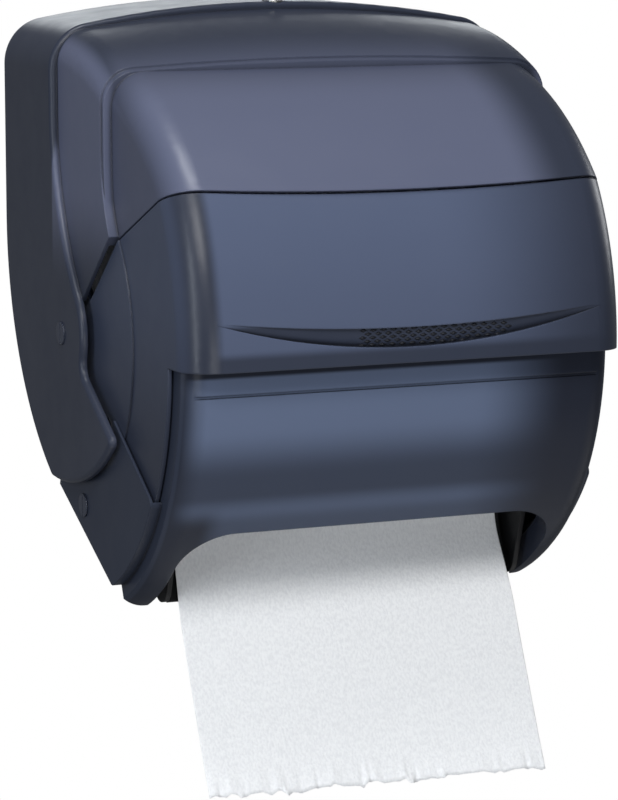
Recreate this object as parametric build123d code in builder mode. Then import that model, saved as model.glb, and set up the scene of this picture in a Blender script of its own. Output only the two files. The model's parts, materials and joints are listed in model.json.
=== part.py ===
from build123d import *
from math import acos, asin, cos, degrees, hypot, pi, radians, sin, tan
import os

# Lever towel dispenser for a wall: a roll of paper towel behind a stepped plastic
# cover, with a wide lever across the front that drives a feed roller.
# Millimetres. X is across, Y runs into the wall (wall face at Y = 0, front at -Y),
# Z is up, and the origin is the middle of the four wall screws.
# Outlines seen from the side are drawn about the lever's pivot line, forward and up.

# Whole object
pivot_depth = 107.0           # wall to the lever's pivot line
pivot_rise = -60.0            # pivot line, from the middle of the wall screws
wall = 2.5                    # moulded wall of the covers and of the lever
overrun = 20.0                # how far a cut runs past what it cuts
far_length = 400.0             # larger than the whole object, for half-space cuts
tiny = 0.01                   # tolerance for picking edges
ridge_share = 0.8             # edges forward of this share of the hood's depth are soft
running_gap = 0.05            # radial play of a pin in its hole
seat_gap = 0.3                # play between a loose piece and what carries it

# Upper cover, rear hood: the widest level, against the wall
skirt_step = 5.0              # from the flank to the inside of the hood
top_room = 27.0               # from the roll to the top of the hood
hood_arch = 16.0              # how far the top falls from the middle to the sides
hood_corner = 28.0
hood_back = 16.0              # front edge of the hood, behind the pivot line
hood_bend_drop = 58.0         # below the top, where that edge starts to sweep forward
hood_stand_off = 1.0          # between the hood's rear edge and the wall
boss_radius = 36.0             # round bulge of the hood about the pivot
boss_angle = 47.0
diagonal_angle = -31.0        # straight edge below the bulge
skirt_radius = 92.5           # lower edge of the hood, at its rear end
skirt_angle = -104.0
skirt_middle = 90.0           # the same edge below the pivot, and at its tip
skirt_middle_angle = -68.0
skirt_tip = 102.0
cutaway_rise = 60.0           # where the rear edge starts to leave the wall
ridge_round = 3.0             # soft edge of each level
ridge_step = 1.2              # small second step in front of the crown's edge
diagonal_round = 12.0
tip_round = 4.0
bulge_round = 24.0

# Upper cover, crown: the second level
crown_under = 2.4             # crown under the hood
crown_step = 3.0              # side of the crown, outside the flank
crown_middle_back = 36.0
crown_over = 14.0
crown_rear_drop = 4.3         # below the top of the hood
crown_middle_drop = 15.2
crown_front_drop = 38.6
crown_rear_arch = 13.0
crown_middle_arch = 8.2
crown_front_arch = 3.5
crown_corner = 21.0
crown_ahead = 63.0            # front edge of the crown, ahead of the pivot line
crown_bend_drop = 78.0

# Upper cover, dome: the third level, above the lever
drive_room = 14.4             # from the drive to the outside of the dome
dome_swell = 20.0             # radius of the dome beyond the lever's
dome_centre_forward = 6.0
dome_centre_drop = 39.5
dome_round = 20.0
dome_tuck = 20.0              # how far the dome runs back inside the crown
tuck_shares = 4.0             # walls that the crown's hollow starts further back
dip_shares = 3.0              # dips that the dome runs on below the seam before it is cut

# Seam between the upper cover and the lever
seam_angle = 41.0
seam_front_angle = 32.4
seam_dip = 6.5                # the seam hangs this far in the middle of the front
seam_gap = 1.2

# Lever
visor_step = 17.0             # the lever stands this far ahead of the lower cover
visor_over_angle = 20.0
lip_drop = 1.0                # lower lip, below the pivot line
cheek_play = 0.8              # cheek to the rim of the lower cover
cheek_angle = -37.0
lens_step = 1.2               # raised round hub on each cheek
lens_radius = 98.0
arm_radius = 70.0             # hidden arm that carries the pusher
arm_angle = -73.0
hub_disc = 34.0
lever_boss = 9.0
lever_boss_depth = 8.0
smile_side = 13.0             # pressing ledge, a crescent across the front
smile_tip = 27.0
smile_upper = 19.0
smile_lower = 8.0
scoop_over = 1.0
scoop_rise = 58.0
pad_side = 9.0                # thicker wall behind the ledge
pad_thick = 8.5
pad_top_angle = 10.5
pusher_out = 60.0
pusher_angle = -66.0
pusher_length = 16.0
pusher_width = 9.0

# Lower cover
front_room = 22.0             # from the feed roller to the outside of the lower cover
cover_room = 1.8              # from the roll to the same
cheek_gap = 1.2               # lower cover inside the lever's cheeks
front_soft = 12.0             # width of the soft side edge
front_edge_drop = 5.0
return_depth = 26.0           # side wall behind that edge, from the front
front_top_angle = 4.0
front_bottom_angle = -66.0
lens_gap = 0.3                # flank of the lower cover, over the hub
flank_wall = 1.6
flank_lap = 10.0              # flank under the hood
flank_inset = 12.5
flank_low_angle = -65.0
flank_rear_over = 7.4
flank_rear_angle = -106.2
flank_corner = 4.0
flank_low_corner = 5.0
floor_share = 0.6             # floor behind the front's legs, of the flank's rear edge
mouth_room = 4.5              # mouth to the side frames
mouth_angle = -37.0
mouth_corner = 30.0
mouth_lip_depth = 14.0        # wall around the mouth's corners and sides, behind the front
groove_angle = -5.7
groove_width = 1.8
groove_depth = 0.9

# Pivot pins of the lever and hinge pins of the cover
pin_radius = 4.0
pin_head_radius = 7.0
pin_head = 0.8
pin_slot = 1.2
pin_short = 1.0               # pin inside the end of the lever's boss
hood_boss_radius = 11.0
hinge_forward = 17.0          # hinge line, from the pivot line
hinge_below = 8.8             # below the hood
hinge_boss = 8.0

# Chassis on the wall
plate_thick = 3.0
plate_lap = 9.0               # wall plate beyond the side frames
plate_top_drop = 21.0         # below the top of the hood
plate_bottom = -62.0
plate_corner = 10.0
plate_rib = 3.0
plate_rib_depth = 5.0
screw_spacing_x = 150.0
screw_spacing_z = 100.0
screw_hole = 2.75
roll_room = 6.0               # from the towel to the side frames
frame_thick = 3.0
frame_rear_top = 16.0
frame_foot = 16.0
pivot_boss = 18.0
feed_boss = 20.0
guide_boss = 11.0
hinge_ear = 14.0
guide_ahead = 4.0             # lowest corner of the frame, ahead of and below the nip
guide_below = 72.0
foot_screw_radius = 2.0
foot_screw_head = 4.0
foot_screw_head_thick = 1.6
foot_screw_inset = 8.0
foot_screw_edge = 14.0

# Drive: a toothed sector on the chassis turns a pinion on the feed roller
gear_module = 2.0
sector_count = 98             # teeth of the whole circle
pinion_count = 16
mesh_angle = -36.0
tooth_below = 2
tooth_above = 9
addendum_share = 0.8
dedendum_share = 1.05
pressure_angle = 20.0
backlash = 0.4
sector_offset = 2.0           # from the side frame
sector_thick = 6.0
sector_hub = 13.0
sector_rim = 12.0
sector_spoke = 9.0
spoke_angle = 9.0
sector_margin_angle = 1.6
post_radius = 5.0
post_length = 6.0
stud_radius = 5.0
stud_head_radius = 8.0
stud_head = 2.0
pinion_side = 0.5             # how much wider the pinion is than the sector, each side

# Feed and pinch rollers
feed_radius = 18.0
feed_core_radius = 12.0
feed_shaft_radius = 4.0
feed_end = 4.0                # roller ends to the side frames
sleeve_gap = 16.0
sleeve_end = 12.0
bush_radius = 7.0
bush_flange = 10.0
bush_flange_thick = 1.5
nip_gap = 1.0
pinch_radius = 11.0
pinch_shaft_radius = 3.0
pinch_end = 5.0
shaft_stub = 1.0              # how far a shaft stands out of the side frames
stub_count = 2                # the pinion end of the feed shaft, in stubs

# Towel roll, hanging sheet and what holds them
towel_half = 104.0
roll_radius = 96.0
rear_room = 13.0              # from the wall plate to the roll
under_room = 23.0             # from the feed roller to the roll
core_radius = 21.0
core_wall = 2.0
sheet_thick = 0.4
hub_plug_radius = 18.7
hub_tip_radius = 15.0
hub_plug_length = 9.0
hub_flange_radius = 27.0
hub_flange_thick = 2.0
roll_arm_thick = 3.0
roll_arm_half = 15.0
arm_end_radius = 22.0
arm_barrel = 4.0
arm_pin_radius = 1.5
arm_lug_height = 5.0

sheet_turn_below = 36.0       # below the nip, where the sheet starts to lean out
sheet_bend = 60.0
sheet_lean_angle = 25.5
sheet_end_drop = 255.0

# Paper way out of the bottom
guide_thick = 2.0
guide_gap = 7.0
guide_lean_angle = 25.0
guide_run = 20.0              # straight end of the guide, below its bend
tear_bar_ahead = 11.4         # ahead of the sheet
tear_bar_depth = 12.0
tear_bar_gap = 2.35           # below the feed roller
tear_bar_height = 10.0
blade_thick = 1.0
blade_below = 1.0
blade_out = 5.0
blade_tooth = 3.0
blade_pitch = 4.0

# Lock on the top
lock_back = 8.0               # behind the front edge of the hood
lock_radius = 7.0
lock_length = 13.0
lock_proud = 0.6
lock_slot = 1.6
lock_slot_depth = 2.0
cam_length = 24.0
cam_half = 5.0
cam_thick = 3.0
catch_near = 10.0
catch_far = 24.0
catch_drop = 9.0              # arm of the catch, below the cam
catch_thick = 3.0
catch_lip_gap = 1.0
catch_lip_rise = 4.0

# Worked-out sizes across, from the towel outwards
frame_inner = towel_half + roll_room
frame_outer = frame_inner + frame_thick
sector_inner = frame_outer + sector_offset
sector_outer = sector_inner + sector_thick
dome_half = sector_outer + drive_room
lens_half = dome_half + lens_step
flank_inside = lens_half + lens_gap
flank_half = flank_inside + flank_wall
crown_half = flank_half + crown_step
hood_half = flank_half + skirt_step + wall
front_half = dome_half - wall - cheek_gap
flank_root = front_half - wall
mouth_half = frame_outer + mouth_room
smile_half = dome_half - smile_side
pad_half = dome_half - pad_side
plate_half = frame_outer + plate_lap
lever_pin_inner = lens_half - wall - lever_boss_depth + pin_short
feed_half = frame_inner - feed_end
pinch_half = frame_inner - pinch_end
sleeve_length = (2 * feed_half - 2 * sleeve_gap - 2 * sleeve_end) / 3
sleeve_pitch = sleeve_length + sleeve_gap
arm_across = frame_inner - roll_arm_thick / 2


def polar(radius, angle):
    """A point about the pivot line, seen from the side: forward, up."""
    return (radius * cos(radians(angle)), radius * sin(radians(angle)))


# Worked-out sizes in the side view, from the drive and the roll outwards
wall_line = -pivot_depth
sector_pitch = gear_module * sector_count / 2
pinion_pitch = gear_module * pinion_count / 2
feed_distance = sector_pitch + pinion_pitch
feed_place = polar(feed_distance, mesh_angle)
pinch_place = (feed_place[0] - feed_radius - nip_gap - pinch_radius, feed_place[1])
nip_forward = feed_place[0] - feed_radius - nip_gap / 2
roll_forward = wall_line + plate_thick + rear_room + roll_radius
roll_rise = feed_place[1] + feed_radius + under_room + roll_radius
roll_place = (roll_forward, roll_rise)
hood_top = roll_rise + roll_radius + top_room
hood_bend = hood_top - hood_bend_drop
crown_bend = hood_top - crown_bend_drop
hood_front = pivot_depth - hood_back
crown_front = pivot_depth + crown_ahead
plate_top = hood_top - plate_top_drop
lock_forward_of_wall = hood_front - lock_back
front_for_feed = feed_distance + feed_radius + front_room
front_for_roll = hypot(roll_forward, roll_rise) + roll_radius + cover_room
front_radius = max(front_for_feed, front_for_roll)
front_edge_radius = front_radius - front_edge_drop
return_radius = front_radius - return_depth
flank_outer = front_radius - flank_inset
flank_inner = skirt_radius - flank_lap
flank_rear_radius = skirt_radius + flank_rear_over
cheek_radius = flank_outer - flank_wall - cheek_play
lever_radius = front_radius + visor_step
pad_radius = lever_radius - pad_thick
scoop_radius = lever_radius + scoop_over
dome_radius = lever_radius + dome_swell
hinge_place = (hinge_forward, -skirt_radius - hinge_below)
guide_place = (nip_forward + guide_ahead, feed_place[1] - guide_below)
tear_bar_place = (nip_forward + tear_bar_ahead, feed_place[1] - feed_radius - tear_bar_gap)
sheet_turn = feed_place[1] - sheet_turn_below
post_angle = pusher_angle - degrees(asin((pusher_width / 2 + post_radius + seat_gap) / pusher_out))
lens_top_angle = seam_angle - degrees(2 * seam_gap / lens_radius)
seam_inner = polar(lens_radius, seam_angle)
seam_outer = polar(lever_radius, seam_front_angle)
seam_run = hypot(seam_outer[0] - seam_inner[0], seam_outer[1] - seam_inner[1])
arm_depth = plate_thick + arm_barrel + seat_gap
pivot_axis = Axis((0, -pivot_depth, pivot_rise), (1, 0, 0))


def side_plane(across):
    """Side view through X = across, about the pivot line; its normal points to -X."""
    return Plane(origin=(across, -pivot_depth, pivot_rise), x_dir=(0, -1, 0), z_dir=(-1, 0, 0))


def front_plane(depth):
    """Front view at a distance from the wall; its normal points forward."""
    return Plane(origin=(0, -depth, pivot_rise), x_dir=(1, 0, 0), z_dir=(0, -1, 0))


def top_plane(height):
    """Top view at a height above the pivot line: across, and towards the wall."""
    return Plane(origin=(0, 0, pivot_rise + height), x_dir=(1, 0, 0), z_dir=(0, 0, 1))


def hood_section(half, top, arch, corner, bottom):
    """Front outline of a cover level: straight sides, round shoulders, arched top."""
    with BuildSketch(mode=Mode.PRIVATE) as section:
        with BuildLine():
            Line((-half, bottom), (-half, top - arch))
            ThreePointArc((-half, top - arch), (0, top), (half, top - arch))
            Line((half, top - arch), (half, bottom))
            Line((half, bottom), (-half, bottom))
        make_face()
        fillet(section.vertices().group_by(Axis.Y)[-1], corner)
    return section.sketch


def edge_angle(radius, inset):
    """Angle at which a line beside the diagonal edge, inset from it, meets a circle."""
    return diagonal_angle - degrees(asin(inset / radius))


os.makedirs("parts", exist_ok=True)


# Levels of the upper cover, as full solids; inset moves every wall inwards
def hood_solid(inset):
    rear = wall_line + hood_stand_off
    if inset:
        rear = wall_line - overrun
    top = hood_top + overrun
    edge = hood_front + wall_line - inset
    boss = boss_radius - inset
    boss_end = edge_angle(boss, inset)
    tip = polar(skirt_tip - inset, edge_angle(skirt_tip - inset, inset))
    low = polar(skirt_radius - inset, skirt_angle)
    with BuildPart() as hood:
        with BuildSketch(front_plane(-overrun)):
            add(hood_section(hood_half - inset, hood_top - inset, hood_arch, hood_corner - inset,
                             -far_length / 2))
        extrude(amount=far_length)
        with BuildSketch(side_plane(0)) as outline:
            with BuildLine():
                Line((rear, top), (edge, top))
                Line((edge, top), (edge, hood_bend))
                TangentArc((edge, hood_bend), polar(boss, boss_angle), tangent=(0, -1))
                CenterArc((0, 0), boss, boss_angle, boss_end - boss_angle)
                Line(polar(boss, boss_end), tip)
                ThreePointArc(tip, polar(skirt_middle - inset, skirt_middle_angle), low)
                if inset:
                    Polyline(low, (rear, low[1]), (rear, top))
                else:
                    TangentArc((rear, cutaway_rise), low, tangent=(0, -1))
                    Line((rear, cutaway_rise), (rear, top))
            make_face()
            if not inset:
                for place, radius in (
                    (polar(boss, boss_angle), bulge_round),
                    (polar(boss, boss_end), diagonal_round),
                    (tip, tip_round),
                    (low, tip_round),
                ):
                    fillet(outline.vertices().sort_by_distance(place)[0], radius)
        extrude(amount=far_length, both=True, mode=Mode.INTERSECT)
        if not inset:
            fillet(hood.edges().filter_by(is_hood_ridge), ridge_round)
    return hood.part


def is_hood_ridge(edge):
    """Front and lower outer edges of the hood, from side to side over the top."""
    box = edge.bounding_box()
    flat_side = abs(abs(edge.center().X) - hood_half) < tiny and box.size.X < tiny
    forward = edge.center().Y < -hood_front * ridge_share
    over_top = box.size.Y < tiny and abs(edge.center().Y + hood_front) < tiny and box.size.Z > tiny
    return (flat_side and forward) or over_top


def crown_solid(inset, edge):
    rear_depth = hood_front - crown_under - tuck_shares * inset
    stations = (
        (rear_depth, crown_rear_drop, crown_rear_arch),
        (crown_front - crown_middle_back, crown_middle_drop, crown_middle_arch),
        (crown_front + crown_over, crown_front_drop, crown_front_arch),
    )
    low = polar(lens_radius, seam_angle)
    floor = -overrun if inset else 0
    with BuildPart() as crown:
        for depth, drop, arch in stations:
            with BuildSketch(front_plane(depth)):
                add(hood_section(crown_half - inset, hood_top - drop - inset, arch, crown_corner - inset,
                                 -skirt_radius))
        loft()
        with BuildSketch(side_plane(0)):
            with BuildLine():
                Line((-far_length, hood_top), (edge, hood_top))
                Line((edge, hood_top), (edge, crown_bend))
                TangentArc((edge, crown_bend), (low[0] - inset, low[1] + floor), tangent=(0, -1))
                Polyline((low[0] - inset, low[1] + floor), (0, floor), (-far_length, floor),
                         (-far_length, hood_top))
            make_face()
        extrude(amount=far_length, both=True, mode=Mode.INTERSECT)
    return crown.part


def dome_solid(inset):
    centre = (dome_centre_forward, -dome_centre_drop)
    radius = dome_radius - inset
    rear = crown_front + wall_line - dome_tuck
    start = degrees(acos((rear - centre[0]) / radius))
    drop = dip_shares * seam_dip
    low_inner = (seam_inner[0], seam_inner[1] - drop)
    end = degrees(asin((seam_outer[1] - drop - centre[1]) / radius))
    with BuildPart() as dome:
        with BuildSketch(side_plane(0)):
            with BuildLine():
                arc = CenterArc(centre, radius, start, end - start)
                Polyline(arc @ 1, low_inner, (rear, low_inner[1]), arc @ 0)
            make_face()
        extrude(amount=dome_half - inset, both=True)
        fillet(dome.edges().filter_by(GeomType.CIRCLE), dome_round - inset)
    return dome.part


def seam_half_space(side, gap):
    """Everything above (+1) or below (-1) the seam that hangs across the front."""
    direction = Vector(0, seam_inner[0] - seam_outer[0], seam_outer[1] - seam_inner[1])
    start = side_plane(0).from_local_coords(Vector(seam_inner[0], seam_inner[1], 0))
    reach = side * hood_half
    edge = side * gap
    with BuildPart() as space:
        with BuildSketch(Plane(origin=start, x_dir=(1, 0, 0), z_dir=direction)):
            with BuildLine():
                ThreePointArc((-hood_half, edge), (0, edge - seam_dip), (hood_half, edge))
                Polyline((hood_half, edge), (hood_half, reach), (-hood_half, reach), (-hood_half, edge))
            make_face()
        extrude(amount=seam_run + overrun)
    return space.part


# Upper cover: hood, crown and dome in one moulding, open at the back and below the seam
with BuildPart() as upper_cover:
    add(crown_solid(0, crown_ahead - ridge_round))
    add(crown_solid(ridge_step, crown_ahead))
    add(dome_solid(0))
    with BuildSketch(side_plane(0)):
        Polygon((0, 0), seam_inner, (seam_inner[0], -hood_top), (-far_length, -hood_top), (-far_length, 0),
                align=None)
    extrude(amount=far_length, both=True, mode=Mode.SUBTRACT)
    add(seam_half_space(-1, 0), mode=Mode.SUBTRACT)
    add(hood_solid(0))
    add(hood_solid(wall), mode=Mode.SUBTRACT)
    add(crown_solid(wall, crown_ahead - wall), mode=Mode.SUBTRACT)
    add(dome_solid(wall), mode=Mode.SUBTRACT)
    clear_front = skirt_tip + overrun
    with BuildSketch(side_plane(0)):
        Polygon((0, 0), seam_inner, (clear_front, 0), (clear_front, -far_length), (-far_length, -far_length),
                polar(-far_length, seam_angle), align=None)
    extrude(amount=crown_half, both=True, mode=Mode.SUBTRACT)
    for side in (-1, 1):
        with BuildSketch(side_plane(side * (hood_half - wall / 2))):
            Circle(hood_boss_radius)
        extrude(amount=side * (hood_half - wall / 2 - lens_half - 2 * seat_gap))
        with BuildSketch(side_plane(side * (hood_half + overrun))):
            Circle(pin_radius + running_gap)
        extrude(amount=side * 2 * overrun, mode=Mode.SUBTRACT)
    with BuildSketch(top_plane(hood_top + overrun)):
        with Locations((0, -lock_forward_of_wall)):
            Circle(lock_radius + running_gap)
    extrude(amount=-2 * overrun, mode=Mode.SUBTRACT)

# Lower cover: a round front with the paper mouth, and a raised flank on each side
front_slope = Plane(
    origin=pivot_axis.position,
    x_dir=(1, 0, 0),
    z_dir=(0, -sin(radians(front_top_angle)), -cos(radians(front_top_angle))),
)
flank_low = Vector(*polar(flank_outer, flank_low_angle))
flank_rear = Vector(*polar(flank_rear_radius, flank_rear_angle))
floor_run = (flank_low - flank_rear).normalized()
floor_rise = Vector(-floor_run.Y, floor_run.X) * wall
floor_front = flank_low + floor_run * (front_radius - flank_outer)
floor_start = flank_low - floor_run * flank_low_corner
floor_rear = flank_low + (flank_rear - flank_low) * floor_share
with BuildPart() as flank:
    with BuildSketch(side_plane(flank_half)) as outline:
        with BuildLine():
            Line(polar(flank_inner, diagonal_angle), polar(flank_outer, diagonal_angle))
            CenterArc((0, 0), flank_outer, diagonal_angle, flank_low_angle - diagonal_angle)
            Polyline(flank_low, flank_rear, polar(flank_inner, flank_rear_angle))
            CenterArc((0, 0), flank_inner, flank_rear_angle, diagonal_angle - flank_rear_angle)
        make_face()
        fillet(outline.vertices().sort_by_distance(polar(flank_outer, diagonal_angle))[0], flank_corner)
        fillet(outline.vertices().sort_by_distance(flank_low)[0], flank_low_corner)
    extrude(amount=flank_half - flank_root)
    with BuildSketch(side_plane(flank_inside)):
        Circle(flank_outer - flank_wall)
    extrude(amount=flank_half, mode=Mode.SUBTRACT)
    with BuildSketch(side_plane(flank_inside + flank_wall / 2)):
        with Locations(hinge_place):
            Circle(hinge_boss)
    extrude(amount=flank_wall / 2 + flank_inside - flank_root)
    with BuildSketch(side_plane(flank_half + overrun)):
        with Locations(hinge_place):
            Circle(pin_radius + running_gap)
    extrude(amount=2 * overrun, mode=Mode.SUBTRACT)
    for across, front in ((flank_inside + flank_wall / 2, floor_start), (flank_root + wall / 2, floor_front)):
        with BuildSketch(side_plane(across)):
            Polygon(front, front + floor_rise, floor_rear + floor_rise, floor_rear, align=None)
        extrude(amount=across - mouth_half)

mouth_top = side_plane(0).from_local_coords(Vector(*polar(front_radius, mouth_angle), 0))
mouth_out = Vector(0, -cos(radians(mouth_angle)), sin(radians(mouth_angle)))
mouth_plane = Plane(origin=mouth_top, x_dir=(1, 0, 0), z_dir=mouth_out)


def mouth_outline(grow):
    """Outline of the mouth, square on to its top edge: two round corners above, open below."""
    with BuildSketch(mode=Mode.PRIVATE) as outline:
        with Locations((0, grow)):
            Rectangle(2 * (mouth_half + grow), front_radius, align=(Align.CENTER, Align.MAX))
        fillet(outline.vertices().group_by(Axis.Y)[-1], mouth_corner + grow)
    return outline.sketch


with BuildPart() as mouth_lip:
    with BuildSketch(mouth_plane):
        add(mouth_outline(wall))
        add(mouth_outline(0), mode=Mode.SUBTRACT)
    extrude(amount=front_radius / 2, both=True)
    with BuildSketch(front_slope):
        with Locations((0, front_radius - wall / 2)):
            Rectangle(2 * (mouth_half + mouth_corner), mouth_lip_depth, align=(Align.CENTER, Align.MAX))
    revolve(axis=pivot_axis, revolution_arc=front_top_angle - front_bottom_angle, mode=Mode.INTERSECT)
    with BuildSketch(side_plane(0)):
        Circle(front_radius)
    extrude(amount=mouth_half - mouth_corner, both=True, mode=Mode.SUBTRACT)

with BuildPart() as lower_cover:
    with BuildSketch(front_slope):
        with BuildLine():
            Line((0, front_radius), (front_half - front_soft, front_radius))
            outer_edge = TangentArc((front_half - front_soft, front_radius), (front_half, front_edge_radius),
                                    tangent=(1, 0))
            inner_edge = TangentArc((front_half - front_soft, front_radius - wall),
                                    (front_half - wall, front_edge_radius - wall), tangent=(1, 0))
            Polyline(outer_edge @ 1, (front_half, return_radius), (front_half - wall, return_radius),
                     inner_edge @ 1)
            Polyline(inner_edge @ 0, (0, front_radius - wall), (0, front_radius))
        make_face()
        mirror(about=Plane.YZ)
    revolve(axis=pivot_axis, revolution_arc=front_top_angle - front_bottom_angle)
    add(flank.part)
    add(mirror(flank.part, about=Plane.YZ, mode=Mode.PRIVATE))
    with BuildSketch(mouth_plane):
        add(mouth_outline(0))
    extrude(amount=front_radius / 2, both=True, mode=Mode.SUBTRACT)
    add(mouth_lip.part)
    with BuildSketch(side_plane(0)):
        with Locations(polar(front_radius, groove_angle)):
            Rectangle(2 * groove_depth, groove_width, rotation=groove_angle)
    extrude(amount=front_half - wall, both=True, mode=Mode.SUBTRACT)

# Lever: a wide visor that turns on the two pins, with a raised hub on each cheek
cheek_start = -degrees(asin(lip_drop / cheek_radius))


def lens_shape(inset):
    """Side outline of the hub: a wide fan, a hidden arm below it and a disc."""
    with BuildSketch(mode=Mode.PRIVATE) as lens:
        with BuildLine():
            Line((0, 0), polar(lens_radius - inset, lens_top_angle))
            CenterArc((0, 0), lens_radius - inset, lens_top_angle, cheek_angle - lens_top_angle)
            Line(polar(lens_radius - inset, cheek_angle), polar(arm_radius - inset, cheek_angle))
            CenterArc((0, 0), arm_radius - inset, cheek_angle, arm_angle - cheek_angle)
            Line(polar(arm_radius - inset, arm_angle), (0, 0))
        make_face()
        Circle(hub_disc - inset)
    return lens.sketch


def visor_solid(inset):
    """The round front of the lever as a block, running on below its lip."""
    rear = -far_length if inset else 0
    with BuildPart() as visor:
        with BuildSketch(side_plane(0)):
            with BuildLine():
                front = CenterArc((0, 0), lever_radius - inset, seam_front_angle + visor_over_angle,
                                  -seam_front_angle - 2 * visor_over_angle)
                Polyline(front @ 1, (rear, (front @ 1).Y), (rear, (front @ 0).Y), front @ 0)
            make_face()
        extrude(amount=dome_half - inset, both=True)
        fillet(visor.edges().filter_by(GeomType.CIRCLE), dome_round - inset)
    return visor.part


with BuildPart() as lever_hollow:
    add(visor_solid(wall))
    with BuildSketch(side_plane(0)):
        with BuildLine():
            pad_outer = CenterArc((0, 0), lever_radius, 0, pad_top_angle)
            pad_inner = CenterArc((0, 0), pad_radius, 0, pad_top_angle)
            Line(pad_outer @ 1, pad_inner @ 1)
            Line(pad_outer @ 0, pad_inner @ 0)
        make_face()
    extrude(amount=pad_half, both=True, mode=Mode.SUBTRACT)

with BuildPart() as ledge_cut:
    with BuildSketch(front_plane(pivot_depth + lever_radius + overrun)):
        with BuildLine():
            ThreePointArc((-smile_half, smile_tip), (0, smile_upper), (smile_half, smile_tip))
            ThreePointArc((-smile_half, smile_tip), (0, smile_lower), (smile_half, smile_tip))
        make_face()
    extrude(amount=-2 * overrun)
    with BuildSketch(side_plane(0)):
        with Locations((0, scoop_rise)):
            Circle(scoop_radius)
    extrude(amount=smile_half, both=True, mode=Mode.SUBTRACT)

with BuildPart() as lever:
    add(visor_solid(0))
    with BuildSketch(side_plane(0)):
        Polygon((far_length, -lip_drop), (far_length, -far_length), (-far_length, -far_length),
                (-far_length, -lip_drop), align=None)
    extrude(amount=dome_half, both=True, mode=Mode.SUBTRACT)
    with BuildSketch(side_plane(0)):
        with BuildLine():
            Line((0, 0), polar(cheek_radius, cheek_start))
            CenterArc((0, 0), cheek_radius, cheek_start, cheek_angle - cheek_start)
            Line(polar(cheek_radius, cheek_angle), (0, 0))
        make_face()
    extrude(amount=dome_half, both=True)
    add(lever_hollow.part, mode=Mode.SUBTRACT)
    with BuildSketch(side_plane(0)):
        Polygon((far_length, -lip_drop), (far_length, -far_length), (-far_length, -far_length),
                (-far_length, -lip_drop), align=None)
    extrude(amount=dome_half - wall, both=True, mode=Mode.SUBTRACT)
    with BuildSketch(side_plane(0)):
        Polygon((0, 0), polar(lens_radius, lens_top_angle), polar(lens_radius + wall, lens_top_angle),
                polar(far_length, seam_angle + visor_over_angle), (-far_length, far_length),
                (-far_length, 0), align=None)
    extrude(amount=far_length, both=True, mode=Mode.SUBTRACT)
    add(seam_half_space(1, -seam_gap), mode=Mode.SUBTRACT)
    for side in (-1, 1):
        with BuildSketch(side_plane(side * lens_half)):
            add(lens_shape(0))
        extrude(amount=side * (lens_half - dome_half + wall))
        with BuildSketch(side_plane(side * (lens_half - wall))):
            add(lens_shape(wall))
        extrude(amount=side * overrun, mode=Mode.SUBTRACT)
        with BuildSketch(side_plane(side * (lens_half - wall))):
            Circle(lever_boss)
        extrude(amount=side * lever_boss_depth)
        with BuildSketch(side_plane(side * (hood_half + overrun))):
            Circle(pin_radius + running_gap)
        extrude(amount=side * 3 * overrun, mode=Mode.SUBTRACT)
    with BuildSketch(side_plane(lens_half - wall)):
        with Locations(polar(pusher_out, pusher_angle)):
            Rectangle(pusher_length, pusher_width, rotation=pusher_angle)
    extrude(amount=lens_half - wall - sector_outer - sector_offset / 2)
    add(ledge_cut.part, mode=Mode.SUBTRACT)

# Pins: the lever turns on two in the cover, the cover on two in the side frames
with BuildPart() as lever_pin:
    with BuildSketch(side_plane(hood_half)):
        Circle(pin_radius)
    extrude(amount=hood_half - lever_pin_inner)
    with BuildSketch(side_plane(hood_half)):
        Circle(pin_head_radius)
    extrude(amount=-pin_head)
    with BuildSketch(side_plane(hood_half + pin_head)):
        Rectangle(pin_slot, 2 * pin_head_radius)
    extrude(amount=pin_head / 2, mode=Mode.SUBTRACT)

with BuildPart() as hinge_pin:
    with BuildSketch(side_plane(flank_half + seat_gap)):
        with Locations(hinge_place):
            Circle(pin_radius)
    extrude(amount=flank_half + seat_gap - frame_inner)
    with BuildSketch(side_plane(flank_half + seat_gap)):
        with Locations(hinge_place):
            Circle(pin_head_radius)
    extrude(amount=-pin_head)
    with BuildSketch(side_plane(flank_half + seat_gap + pin_head)):
        with Locations(hinge_place):
            Rectangle(pin_slot, 2 * pin_head_radius)
    extrude(amount=pin_head / 2, mode=Mode.SUBTRACT)

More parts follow.
